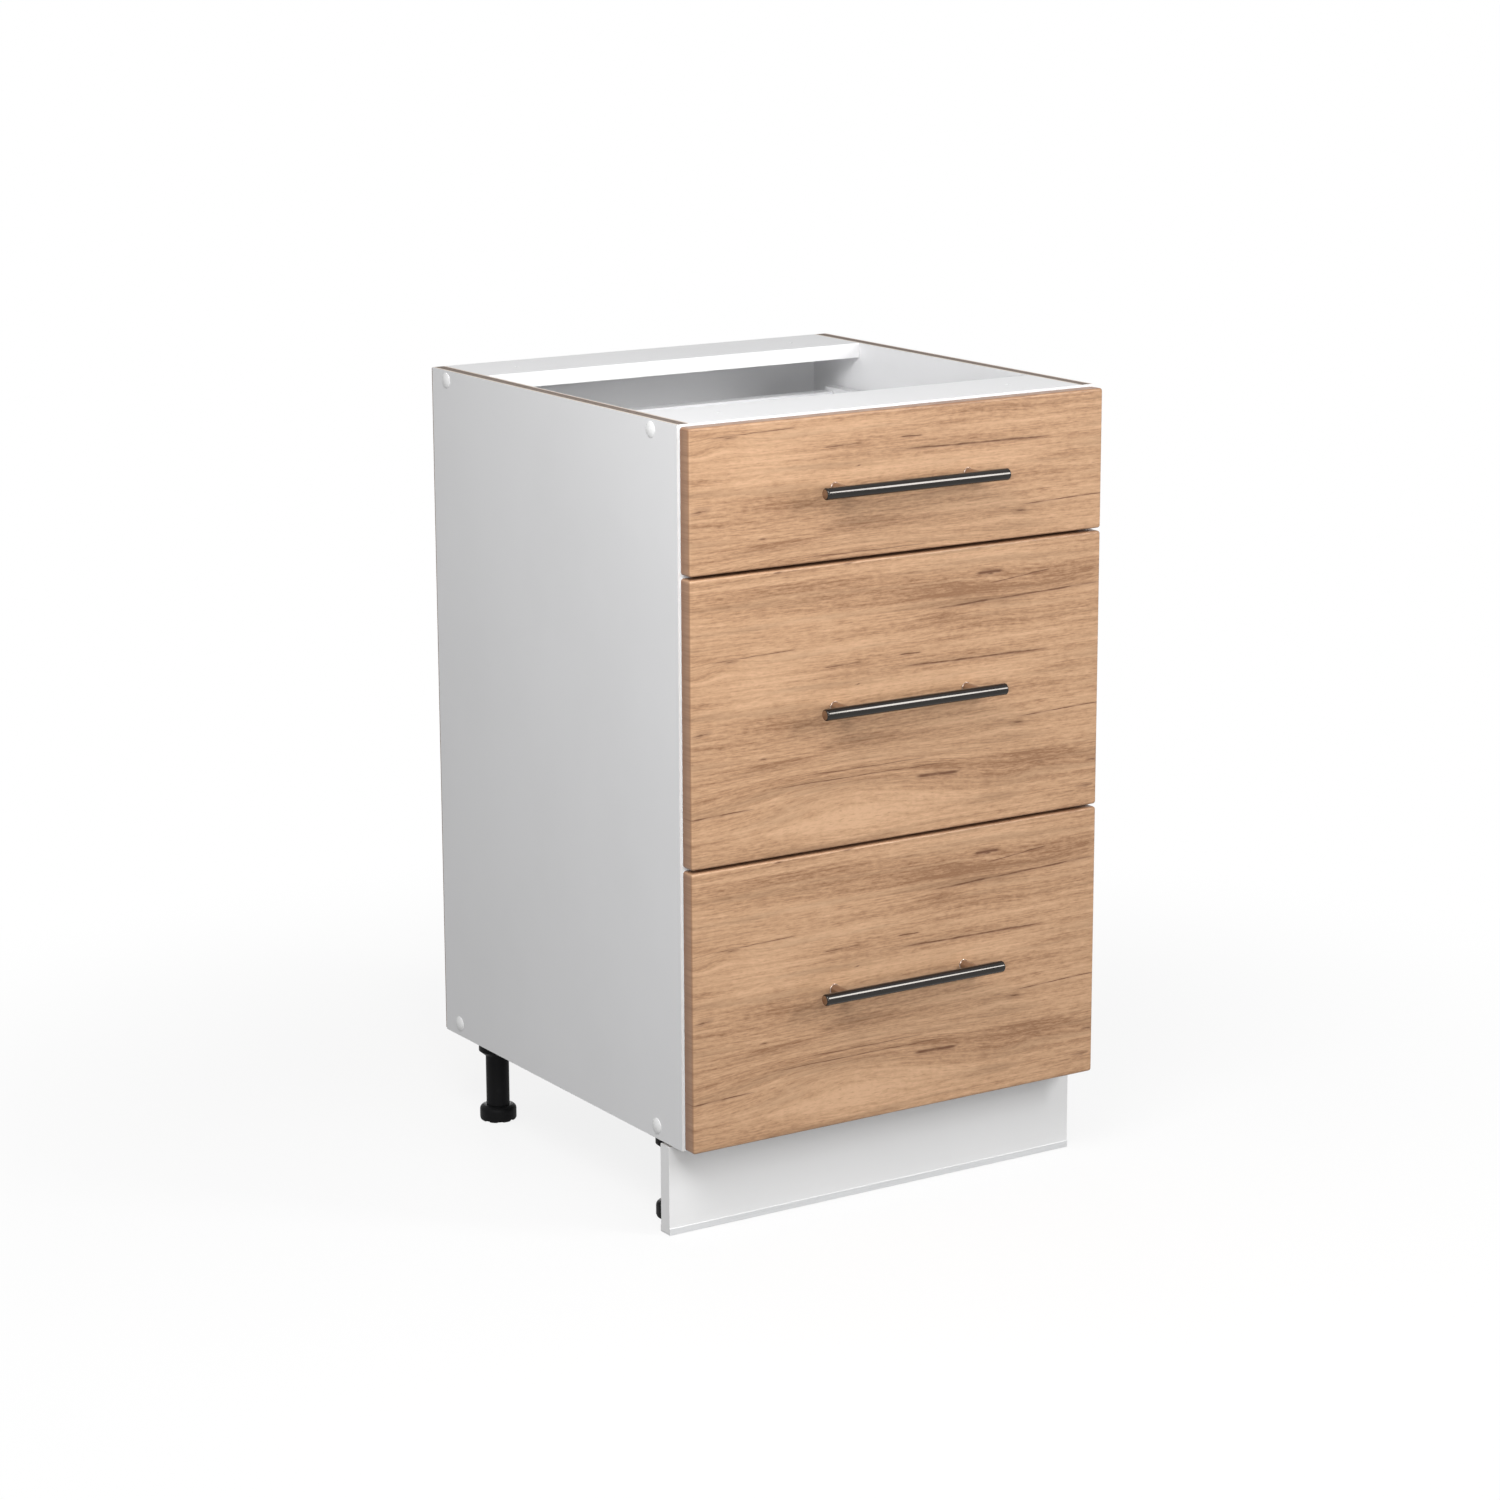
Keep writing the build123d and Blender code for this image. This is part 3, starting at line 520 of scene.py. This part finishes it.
def oak_decor(name, middle):
    """Oak print with a straight fine grain along the front; its marks are counted from the front's middle."""
    s = settings().fronts
    f = Finish(bpy.data.materials.new(name))
    at = f.place((0.0, 0.0, middle))
    x, y, z = f.split(at)
    wander = oak_grain(f, x, z, OAK_WANDER)
    ripple = oak_grain(f, x, z, OAK_RIPPLE)
    lane = z + 9 * (wander - 0.5) + 2.2 * (ripple - 0.5)
    for sx, sz, wide, high, rise in OAK_SWELLS:
        lane = lane - rise * oak_spot(f, at, sx, sz, wide, high)
    bands = oak_grain(f, x, lane, OAK_BANDS)
    streaks = oak_grain(f, x, lane, OAK_STREAKS)
    fibres = oak_grain(f, x, lane, OAK_FIBRES)
    pores = oak_grain(f, x, lane, OAK_PORES)
    flakes = oak_grain(f, x, lane, OAK_FLAKES)
    level = 0.5 + 0.62 * (bands - 0.5) + 1.1 * (streaks - 0.5) + 1.0 * (fibres - 0.5) + 0.5 * (flakes - 0.5)
    drift = oak_grain(f, x, z, OAK_DRIFT) - 0.5
    loose = f.vector(x + 60 * drift, 0.0, lane + 9 * (streaks - 0.5) + 5 * (fibres - 0.5))
    for sx, sz, wide, high, depth in OAK_SHADES:
        level = level - 0.5 * depth * oak_spot(f, loose, sx, sz, wide, high)
    for sx, sz, wide, high, lift in OAK_LIGHTS:
        level = level + 0.42 * lift * oak_spot(f, loose, sx, sz, wide, high)
    shade = f.ramp(level, (0.14, s.oak_dark), (0.5, s.oak_middle), (0.86, s.oak_light))
    grey = oak_grain(f, x, lane, OAK_GREY)
    shade = f.mix(grey.ease(0.5, 0.72) * 0.4, shade, s.oak_grey)
    shade = f.mix(pores.ease(0.6, 0.75) * 0.42, shade, s.oak_dark, "MULTIPLY")
    jag = oak_grain(f, x, z, OAK_JAG) - 0.5
    whole = 0.5 + 0.5 * oak_grain(f, x, z, OAK_GAP).ease(0.34, 0.56)
    crack = None
    for start, end, level_z, slope, width in OAK_CRACKS:
        middle_x, half = (start + end) / 2, (end - start) / 2
        off = abs(z + 2.6 * jag - level_z - slope * (x - middle_x))
        run = 1 - abs(x - middle_x).ease(0.65 * half, 1.05 * half)
        line = (1 - (off / (0.3 + run)).ease(0.3 * width, 1.5 * width)) * run * whole
        halo = (1 - off.ease(0.0, 6.0 * width)) * run * 0.22
        crack = line.most(halo) if crack is None else crack.most(line).most(halo)
    for kx, kz, wide, high in OAK_KNOTS:
        knot = oak_spot(f, loose, kx, kz, 1.5 * wide, 1.3 * high)
        crack = crack.most(knot * (0.25 + 0.75 * fibres.ease(0.42, 0.6)))
    shade = f.mix(crack * 0.92, shade, s.oak_crack)
    # The narrow edges take the brown tape together with painted shade, which deepens towards the rear of the
    # front
    side, _, upper = f.facing()
    edge = abs(side).most(abs(upper)).ease(0.55, 0.95)
    front_low, front_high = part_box("top_front")
    rear = y.ease(front_low.y / MM + OAK_EDGE_SHADE_START, front_high.y / MM)
    shade = f.mix(edge * (0.55 + 0.3 * rear), shade, s.oak_edge_and_shade)
    height = fibres - 0.8 * crack - 0.6 * pores.ease(0.55, 0.7)
    return f.surface(Base_Color=shade, Roughness=0.42 - 0.08 * fibres + 0.15 * crack, Specular=0.4,
                     Normal=f.bump(height, depth=0.05, strength=0.4))


def polished(name, shade, dull=0.0):
    """Polished metal with fine lines along the bar and a few duller smears; dull makes it rougher."""
    f = Finish(bpy.data.materials.new(name))
    at = f.place()
    polish = f.noise(f.stretched(at, 0.02, 2.5, 2.5), 1.0, detail=3.0, rough=0.6)
    smear = f.noise(at, 0.05, detail=3.0, rough=0.6)
    metal = f.mix(smear.ease(0.4, 0.8) * 0.4, shade, darker(shade, 0.7))
    rough = 0.05 + dull + 0.05 * polish + 0.06 * smear.ease(0.55, 0.8)
    return f.surface(Base_Color=metal, Metallic=1.0, Roughness=rough,
                     Normal=f.bump(polish, depth=0.003, strength=0.2))


def black_plastic(name):
    """Black moulded plastic with a fine spark texture, rubbed a little paler here and there."""
    s = settings().legs
    f = Finish(bpy.data.materials.new(name))
    at = f.place()
    spark = f.noise(at, 2.2, detail=2.0, rough=0.6)
    rub = f.noise(at, 0.07, detail=4.0, rough=0.6)
    face = f.mix(rub.ease(0.5, 0.8) * 0.5, s.plastic, tuple(2.2 * part + 0.002 for part in s.plastic))
    return f.surface(Base_Color=face, Roughness=0.38 + 0.16 * spark + 0.1 * rub, Specular=0.07,
                     Normal=f.bump(spark, depth=0.05, strength=0.5, edge=0.5 * MM))


def coated_steel():
    """White powder coat with a light orange peel."""
    s = settings().fittings
    f = Finish(bpy.data.materials.new("white coated steel"))
    at = f.place()
    peel = f.noise(at, 0.7, detail=2.0, rough=0.5)
    cloud = f.noise(at, 0.012, detail=3.0)
    face = f.mix(cloud.ease(0.4, 0.8) * 0.4, s.coat, darker(s.coat, 0.92))
    return f.surface(Base_Color=face, Roughness=0.3 + 0.14 * cloud, Specular=0.45,
                     Normal=f.bump(peel, depth=0.03, strength=0.35, edge=0.4 * MM))


def zinc_steel():
    """Bright zinc plating with crystal patches and a cloudy passivation."""
    s = settings().fittings
    f = Finish(bpy.data.materials.new("zinc plating"))
    at = f.place()
    crystal = f.noise(f.cells(at, 0.8), 3.0, detail=0.0)
    cloud = f.noise(at, 0.15, detail=3.0, rough=0.6)
    metal = f.mix(0.5 * crystal + 0.3 * cloud, s.zinc, darker(s.zinc, 0.6))
    return f.surface(Base_Color=metal, Metallic=1.0, Roughness=0.26 + 0.2 * cloud + 0.08 * crystal,
                     Normal=f.bump(crystal, depth=0.01, strength=0.2))


def cap_plastic():
    """Glossy white plastic of the screw caps."""
    s = settings().fittings
    f = Finish(bpy.data.materials.new("cap plastic"))
    at = f.place()
    flow = f.noise(at, 0.3, detail=3.0, rough=0.6)
    face = f.mix(flow.ease(0.4, 0.8) * 0.4, s.cap, darker(s.cap, 0.94))
    return f.surface(Base_Color=face, Roughness=0.22 + 0.12 * flow, Specular=0.5,
                     Normal=f.bump(flow, depth=0.02, strength=0.2))


def nylon():
    """Off-white nylon of the rollers, with moulding marks."""
    s = settings().fittings
    f = Finish(bpy.data.materials.new("roller nylon"))
    at = f.place()
    flow = f.noise(at, 0.25, detail=4.0, rough=0.6)
    face = f.mix(flow.ease(0.35, 0.75) * 0.5, s.nylon, darker(s.nylon, 0.86))
    return f.surface(Base_Color=face, Roughness=0.36 + 0.18 * flow, Specular=0.4,
                     Normal=f.bump(flow, depth=0.03, strength=0.3, edge=0.4 * MM))


def seal_plastic():
    """Pale soft plastic of the plinth seal, drawn lengthwise."""
    s = settings().fittings
    f = Finish(bpy.data.materials.new("seal plastic"))
    at = f.place()
    drawn = f.noise(f.stretched(at, 0.01, 1.2, 1.2), 1.0, detail=3.0, rough=0.6)
    face = f.mix(drawn.ease(0.35, 0.75) * 0.5, s.seal, darker(s.seal, 0.82))
    return f.surface(Base_Color=face, Roughness=0.28 + 0.16 * drawn, Specular=0.5,
                     Normal=f.bump(drawn, depth=0.03, strength=0.3, edge=0.2 * MM))


def beech():
    """Beech dowels with short flecks along the grain."""
    s = settings().boards
    f = Finish(bpy.data.materials.new("beech dowel"))
    at = f.place()
    grain = f.noise(f.stretched(at, 0.08, 1.4, 1.4), 1.0, detail=4.0, rough=0.6)
    flecks = f.noise(f.stretched(at, 0.4, 3.0, 3.0), 1.0, detail=1.0)
    face = f.mix(0.5 * grain + 0.4 * flecks.ease(0.5, 0.7), s.beech, darker(s.beech, 0.6))
    return f.surface(Base_Color=face, Roughness=0.6 + 0.15 * grain, Specular=0.3,
                     Normal=f.bump(grain, depth=0.05, strength=0.4))


def dress(finish, *nodes):
    """Gives carried-over pieces their finish."""
    for name in nodes:
        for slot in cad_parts[name].material_slots:
            slot.material = finish


# Modelling

def deselect():
    if bpy.context.object and bpy.context.object.mode != "OBJECT":
        bpy.ops.object.mode_set(mode="OBJECT")
    bpy.ops.object.select_all(action="DESELECT")


def activate(piece):
    """Makes a piece the active one, and the only one selected."""
    deselect()
    piece.select_set(True)
    bpy.context.view_layer.objects.active = piece


def settle(piece):
    """Puts a finished piece's place into its mesh."""
    activate(piece)
    bpy.ops.object.transform_apply(location=True, rotation=True, scale=True)
    return piece


def pick(piece, kind, wanted):
    """Selects the vertices, edges or faces of the piece in edit mode that the test wants."""
    bpy.ops.mesh.select_mode(type={"verts": "VERT", "edges": "EDGE", "faces": "FACE"}[kind])
    bpy.ops.mesh.select_all(action="DESELECT")
    work = bmesh.from_edit_mesh(piece.data)
    work.normal_update()
    for part in getattr(work, kind):
        if wanted(part):
            part.select_set(True)
    work.select_flush_mode()
    bmesh.update_edit_mesh(piece.data)


def smooth(piece):
    """Shades a piece smooth up to an angle and keeps its flat faces flat."""
    activate(piece)
    bpy.ops.object.shade_smooth_by_angle(angle=math.radians(SMOOTH_ANGLE))
    weighted = piece.modifiers.new("Flat faces", "WEIGHTED_NORMAL")
    weighted.keep_sharp = True
    bpy.ops.object.modifier_apply(modifier=weighted.name)
    return piece


def block(name, low, high):
    """A rectangular blank between two corners, in edit mode, ready to be shaped."""
    deselect()
    low, high = Vector(low), Vector(high)
    bpy.ops.mesh.primitive_cube_add(size=1.0, location=(low + high) / 2)
    piece = bpy.context.object
    piece.name = piece.data.name = name
    piece.scale = high - low
    settle(piece)
    bpy.ops.object.mode_set(mode="EDIT")
    return piece


def weld(piece):
    """Merges points that lie on each other, drops faces without area and turns all normals outwards."""
    bpy.context.view_layer.objects.active = piece
    bpy.ops.object.mode_set(mode="EDIT")
    bpy.ops.mesh.select_all(action="SELECT")
    bpy.ops.mesh.remove_doubles(threshold=WELD)
    bpy.ops.mesh.dissolve_degenerate(threshold=WELD)
    bpy.ops.mesh.select_all(action="SELECT")
    bpy.ops.mesh.normals_make_consistent(inside=False)
    bpy.ops.object.mode_set(mode="OBJECT")
    return piece


def turned(name, profile, steps=TURN_STEPS):
    """A lathe-turned piece about Z: a point is drawn along (radius, height) places and its line is spun."""
    deselect()
    bpy.ops.mesh.primitive_plane_add(size=MM)
    piece = bpy.context.object
    piece.name = piece.data.name = name
    bpy.ops.object.mode_set(mode="EDIT")
    bpy.ops.mesh.select_mode(type="VERT")
    bpy.ops.mesh.select_all(action="SELECT")
    bpy.ops.mesh.merge(type="CENTER")
    here = (0.0, 0.0)
    for step, (radius, height) in enumerate(profile):
        move = {"value": (radius - here[0], 0.0, height - here[1])}
        if step:
            bpy.ops.mesh.extrude_vertices_move(TRANSFORM_OT_translate=move)
        else:
            bpy.ops.transform.translate(**move)
        here = (radius, height)
    bpy.ops.mesh.select_all(action="SELECT")
    bpy.ops.mesh.spin(steps=steps, angle=math.tau, center=(0.0, 0.0, 0.0), axis=(0.0, 0.0, 1.0))
    return weld(piece)


def copy_of(piece, name):
    """Another piece of the same shape, with its own mesh."""
    twin = piece.copy()
    twin.data = piece.data.copy()
    twin.name = twin.data.name = name
    bpy.context.scene.collection.objects.link(twin)
    return twin


def joined(name, pieces):
    deselect()
    for piece in pieces:
        piece.select_set(True)
    bpy.context.view_layer.objects.active = pieces[0]
    bpy.ops.object.join()
    pieces[0].name = pieces[0].data.name = name
    return settle(pieces[0])


def quarter(radius, height, steps, start=(0.0, 0.0)):
    """Points of a rounded edge that goes in by radius and up by height, from start."""
    turns = [math.pi / 2 * i / steps for i in range(steps + 1)]
    return [(start[0] - radius * (1 - math.cos(t)), start[1] + height * math.sin(t)) for t in turns]


def clad(piece, body, slot, finish, *nodes):
    """Gives a modelled piece its finish, its body and the nodes that it stands for."""
    if finish:
        piece.data.materials.append(finish)
    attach(piece, body)
    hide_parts(*nodes)


# Operators

class CABINET_OT_carcass(bpy.types.Operator):
    """Gives the carcass boards, their edge strips and the back panel their finishes"""
    bl_idname = "cabinet.carcass"
    bl_label = "Carcass boards"

    def execute(self, context):
        dress(white_board("white side board", raw_edges=True), "left_side_panel", "right_side_panel")
        dress(white_board("white board"), "bottom_panel", "front_top_rail", "rear_top_rail")
        dress(edge_strip(), "edge_bands")
        dress(hardboard(), "back_panel")
        return {"FINISHED"}


class CABINET_OT_fasteners(bpy.types.Operator):
    """Gives the screws, nails and dowels their finishes"""
    bl_idname = "cabinet.fasteners"
    bl_label = "Screws, nails and dowels"

    def execute(self, context):
        dress(zinc_steel(), "carcass_screws", "back_panel_nails", "leg_screws", "plinth_clip_screws",
              "runner_screws", *[f"{d}_drawer_screws" for d in DRAWERS],
              *[f"{d}_front_brackets" for d in DRAWERS])
        dress(beech(), "dowels")
        return {"FINISHED"}


class CABINET_OT_screw_caps(bpy.types.Operator):
    """Turns the domed caps that cover the carcass screws"""
    bl_idname = "cabinet.screw_caps"
    bl_label = "Screw caps"

    def execute(self, context):
        low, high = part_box("screw_caps")
        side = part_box("right_side_panel")[1].x
        s = settings().fittings
        radius, rim, rise = s.cap_radius, s.cap_rim, high.x - side
        ball = (radius**2 + (rise - rim) ** 2) / (2 * (rise - rim))
        dome = [radius * math.cos(math.pi / 2 * i / CAP_STEPS) for i in range(CAP_STEPS)]
        profile = [(0.0, -s.cap_seat), (radius - rim, -s.cap_seat), (radius, 0.0)]
        profile += [(r, math.sqrt(ball**2 - r**2) - ball + rise) for r in dome]
        profile += [(0.0, rise)]
        first = turned("screw_cap", profile)
        caps = []
        for sign in (-1, 1):
            for y in (low.y + radius, high.y - radius):
                for z in (low.z + radius, high.z - radius):
                    cap = copy_of(first, f"cap_{len(caps)}")
                    cap.rotation_euler = (0.0, sign * math.pi / 2, 0.0)
                    cap.location = (sign * side, y, z)
                    caps.append(settle(cap))
        bpy.data.objects.remove(first)
        piece = smooth(joined("carcass_screw_caps", caps))
        clad(piece, "carcass", "cap_plastic", cap_plastic(), "screw_caps")
        return {"FINISHED"}


class CABINET_OT_fronts(bpy.types.Operator):
    """Shapes the three drawer fronts with rounded corners and edges"""
    bl_idname = "cabinet.fronts"
    bl_label = "Drawer fronts"

    def execute(self, context):
        s = settings().fronts
        rear_board = white_board("white front rear")
        for drawer in DRAWERS:
            low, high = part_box(f"{drawer}_front")
            piece = block(f"{drawer}_drawer_front", low, high)
            pick(piece, "edges", lambda e: abs(e.verts[0].co.y - e.verts[1].co.y) > s.edge_radius)
            bpy.ops.mesh.bevel(offset=s.corner_radius, segments=CORNER_STEPS, affect="EDGES")
            pick(piece, "edges", lambda e: all(abs(v.co.y - low.y) < TOUCH for v in e.verts))
            bpy.ops.mesh.bevel(offset=s.edge_radius, segments=EDGE_STEPS, affect="EDGES")
            pick(piece, "edges", lambda e: all(abs(v.co.y - high.y) < TOUCH for v in e.verts))
            bpy.ops.mesh.bevel(offset=s.rear_bevel, segments=REAR_STEPS, affect="EDGES")
            bpy.ops.object.mode_set(mode="OBJECT")
            smooth(piece)
            oak = oak_decor(f"oak decor {drawer}", (low.z + high.z) / 2)
            clad(piece, f"{drawer}_drawer", "oak_decor", oak, f"{drawer}_front")
            piece.data.materials.append(rear_board)
            for face in piece.data.polygons:
                face.material_index = int(face.normal.y > LOOKS)
        return {"FINISHED"}


class CABINET_OT_handles(bpy.types.Operator):
    """Turns the bar handles and their flared posts"""
    bl_idname = "cabinet.handles"
    bl_label = "Bar handles"

    def execute(self, context):
        s = settings().handles
        bar_chrome = polished("dark chrome", s.chrome)
        painted_reflection_chrome = polished("bright chrome", s.bright_chrome, 0.12)
        for drawer in DRAWERS:
            low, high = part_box(f"{drawer}_handle_bar")
            radius, half = (high.z - low.z) / 2, (high.x - low.x) / 2
            end = quarter(s.end_round, s.end_round, BAR_END_STEPS, (radius, half - s.end_round))
            profile = [(0.0, -half)] + [(r, -h) for r, h in reversed(end)] + end + [(0.0, half)]
            bar = turned(f"{drawer}_bar", profile, FINE_TURN_STEPS)
            bar.rotation_euler = (0.0, math.pi / 2, 0.0)
            bar.location = (low + high) / 2
            bar.data.materials.append(bar_chrome)
            # The bar's end faces take the bright copy of the chrome as a painted reflection of the oak
            bar.data.materials.append(painted_reflection_chrome)
            for face in bar.data.polygons:
                face.material_index = int(abs(face.normal.z) > LOOKS)
            settle(bar)
            post_low, post_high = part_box(f"{drawer}_handle_posts")
            post = (post_high.z - post_low.z) / 2
            reach = post_high.y - post_low.y
            turns = [math.pi / 2 * i / FLARE_STEPS for i in range(FLARE_STEPS + 1)]
            flare = [(post + s.post_flare * (1 - math.sin(t)),
                      s.post_rim + s.flare_height * (1 - math.cos(t))) for t in turns]
            shape = [(0.0, 0.0), (post + s.post_flare, 0.0)] + flare + [(post, reach), (0.0, reach)]
            pieces = [bar]
            for x in (post_low.x + post, post_high.x - post):
                support = turned(f"{drawer}_post", shape)
                support.rotation_euler = (math.pi / 2, 0.0, 0.0)
                support.location = (x, post_high.y, (post_low.z + post_high.z) / 2)
                support.data.materials.append(painted_reflection_chrome)
                pieces.append(settle(support))
            handle = smooth(joined(f"{drawer}_handle", pieces))
            clad(handle, f"{drawer}_drawer", "dark_chrome", None,
                 f"{drawer}_handle_bar", f"{drawer}_handle_posts")
        return {"FINISHED"}


class CABINET_OT_drawer_boxes(bpy.types.Operator):
    """Gives the drawer sides, bottoms and backs their finishes"""
    bl_idname = "cabinet.drawer_boxes"
    bl_label = "Drawer boxes"

    def execute(self, context):
        dress(coated_steel(), *[f"{d}_{part}" for d in DRAWERS
                                for part in ("left_side", "right_side", "runners")])
        dress(white_board("white drawer board"), *[f"{d}_drawer_{part}" for d in DRAWERS
                                                   for part in ("bottom", "back")])
        dress(nylon(), *[f"{d}_{end}_rollers" for d in DRAWERS for end in ("front", "rear")])
        return {"FINISHED"}


class CABINET_OT_legs(bpy.types.Operator):
    """Turns the levelling feet, cuts their notches and dresses the sockets and columns"""
    bl_idname = "cabinet.legs"
    bl_label = "Levelling legs"

    def execute(self, context):
        s = settings().legs
        plastic = black_plastic("black leg plastic")
        dress(plastic, "leg_sockets", "leg_columns")
        for leg in LEGS:
            low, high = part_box(f"foot_{leg}")
            radius, core = (high.x - low.x) / 2, s.stem_radius - s.thread_depth
            height = s.rim_height + s.shoulder_height
            sole = quarter(s.sole_round, s.sole_round, SOLE_STEPS, (radius, 0.0))
            sole = [(r, s.sole_round - h) for r, h in reversed(sole)]
            rim = (radius, s.rim_height)
            shoulder = quarter(radius - s.neck_radius, s.shoulder_height, SHOULDER_STEPS, rim)
            profile = [(0.0, 0.0)] + sole + shoulder + [(core, height)]
            while height + s.thread_pitch < high.z:
                profile += [(s.stem_radius, height + share * s.thread_pitch) for share in THREAD_CREST]
                height += s.thread_pitch
                profile += [(core, height)]
            profile += [(core, high.z), (0.0, high.z)]
            foot = turned(f"levelling_foot_{leg}", profile, FINE_TURN_STEPS)
            cutters = []
            for i in range(s.notch_count):
                turn = math.tau * (i + 0.5) / s.notch_count
                deselect()
                bpy.ops.mesh.primitive_cylinder_add(
                    vertices=NOTCH_STEPS, radius=s.notch_radius, depth=s.notch_length,
                    rotation=(math.pi / 2, 0.0, turn - math.pi / 2),
                    location=(radius * math.cos(turn), radius * math.sin(turn), 0.0))
                cutters.append(settle(bpy.context.object))
            cutter = joined("notches", cutters)
            activate(foot)
            cut = foot.modifiers.new("Notches", "BOOLEAN")
            cut.operation = "DIFFERENCE"
            cut.object = cutter
            bpy.ops.object.modifier_apply(modifier=cut.name)
            bpy.data.objects.remove(cutter)
            weld(foot)
            foot.location = ((low.x + high.x) / 2, (low.y + high.y) / 2, 0.0)
            settle(foot)
            smooth(foot)
            clad(foot, f"foot_{leg}_body", "black_plastic", plastic, f"foot_{leg}")
        return {"FINISHED"}


class CABINET_OT_plinth(bpy.types.Operator):
    """Gives the plinth board, its seal and clips their finishes"""
    bl_idname = "cabinet.plinth"
    bl_label = "Plinth"

    def execute(self, context):
        # The plinth takes the strip's brighter white in place of the melamine: painted light that offsets the
        # weaker light low down under the fronts
        dress(white_board("white plinth board", white=settings().boards.strip), "plinth_board")
        dress(seal_plastic(), "plinth_seal")
        dress(black_plastic("black clip plastic"), "plinth_clips")
        return {"FINISHED"}


class CABINET_OT_stage(bpy.types.Operator):
    """Sets up the floor, the soft light and the camera"""
    bl_idname = "cabinet.stage"
    bl_label = "Stage"

    def execute(self, context):
        s = settings().stage
        scene = context.scene
        deselect()
        bpy.ops.mesh.primitive_circle_add(vertices=FLOOR_STEPS, radius=s.floor_radius, fill_type="NGON",
                                          location=(0.0, 0.0, -s.floor_drop))
        floor = context.object
        floor.name = floor.data.name = "studio_floor"
        floor.data.materials.append(floor_finish())
        scene.world = white_world()
        deselect()
        soft_lamp("front_lamp", s.front_place, s.front_width, s.front_height, s.front_power)
        soft_lamp("top_lamp", s.top_place, s.top_size, s.top_size, s.top_power)
        soft_lamp("right_lamp", s.right_place, s.right_width, s.right_height, s.right_power)
        soft_lamp("rear_lamp", s.rear_place, s.rear_size, s.rear_size, s.rear_power)
        deselect()
        bpy.ops.object.camera_add(location=s.camera_place)
        camera = context.object
        camera.name = "photo_camera"
        camera.data.lens = s.lens
        camera.data.sensor_width = SENSOR
        camera.data.clip_end = REACH
        turn = Matrix.Rotation(s.heading, 3, "Z") @ Matrix.Rotation(math.pi / 2 - s.tilt, 3, "X")
        camera.rotation_euler = (turn @ Matrix.Rotation(s.roll, 3, "Z")).to_euler()
        scene.camera = camera
        scene.view_settings.view_transform = "Standard"
        return {"FINISHED"}


def soft_lamp(name, spot, wide, high, watts):
    """A rectangular lamp that shines at the middle of the cabinet's front."""
    deselect()
    bpy.ops.object.light_add(type="AREA", location=spot)
    lamp = bpy.context.object
    lamp.name = name
    lamp.data.shape = "RECTANGLE"
    lamp.data.size = wide
    lamp.data.size_y = high
    lamp.data.energy = watts
    low, high_corner = CAD_BOX
    aim = Vector((0.0, low.y, (low.z + high_corner.z) / 2))
    lamp.rotation_euler = (Vector(spot) - aim).to_track_quat("Z", "Y").to_euler()


def seen_rays(f):
    """1 for a ray that the camera sees, straight or in a mirror or glass."""
    straight, mirrored, through = [f.add("ShaderNodeLightPath", out=f"Is {kind} Ray")
                                   for kind in ("Camera", "Glossy", "Transmission")]
    return straight.most(mirrored).most(through)


def floor_finish():
    """A plain pale floor that keeps a faint shadow near the cabinet and is white further off."""
    s = settings().stage
    f = Finish(bpy.data.materials.new("studio floor"))
    at = f.add("ShaderNodeTexCoord", out="Object")
    reach = f.add("ShaderNodeVectorMath", {"operation": "LENGTH"}, {"Vector": at}, "Value")
    far = reach.ease(s.shadow_near, s.shadow_far)
    pale = f.add("ShaderNodeBsdfDiffuse", {}, {"Color": s.floor_tone})
    white = f.add("ShaderNodeEmission", {}, {"Color": (1.0, 1.0, 1.0), "Strength": 1.0})
    grey = f.add("ShaderNodeBsdfDiffuse", {}, {"Color": s.floor_bounce})
    share = 1 - s.shadow_share * (1 - far)
    shown = f.add("ShaderNodeMixShader", {}, {"Fac": share, "Shader": pale, "Shader_001": white})
    sockets = {"Fac": seen_rays(f), "Shader": grey, "Shader_001": shown}
    return f.show(f.add("ShaderNodeMixShader", {}, sockets))


def white_world():
    """An even white sky: plain light on the cabinet, and white where it is seen or mirrored."""
    f = Finish(bpy.data.worlds.new("studio"))
    light = f.add("ShaderNodeBackground", {}, {"Color": (1.0, 1.0, 1.0), "Strength": settings().stage.sky})
    white = f.add("ShaderNodeBackground", {}, {"Color": (1.0, 1.0, 1.0), "Strength": 1.0})
    sockets = {"Fac": seen_rays(f), "Shader": light, "Shader_001": white}
    return f.show(f.add("ShaderNodeMixShader", {}, sockets))


STEPS = ("carcass", "fasteners", "screw_caps", "fronts", "handles", "drawer_boxes", "legs", "plinth", "stage")


class CABINET_PT_panel(bpy.types.Panel):
    """Lists the cabinet's steps in the 3D view's sidebar"""
    bl_label = "Kitchen base cabinet"
    bl_idname = "CABINET_PT_panel"
    bl_space_type = "VIEW_3D"
    bl_region_type = "UI"
    bl_category = "Cabinet"

    def draw(self, context):
        for step in STEPS:
            self.layout.operator(f"cabinet.{step}")


CLASSES = (
    BoardSettings, FrontSettings, HandleSettings, LegSettings, FittingSettings, StageSettings,
    CabinetSettings, CABINET_OT_carcass, CABINET_OT_fasteners, CABINET_OT_screw_caps, CABINET_OT_fronts,
    CABINET_OT_handles, CABINET_OT_drawer_boxes, CABINET_OT_legs, CABINET_OT_plinth, CABINET_OT_stage,
    CABINET_PT_panel,
)


def register():
    for cls in CLASSES:
        bpy.utils.register_class(cls)
    bpy.types.Scene.cabinet = PointerProperty(type=CabinetSettings)


def unregister():
    del bpy.types.Scene.cabinet
    for cls in reversed(CLASSES):
        bpy.utils.unregister_class(cls)


def main():
    register()
    for step in STEPS:
        getattr(bpy.ops.cabinet, step)()


if __name__ == "__main__":
    main()
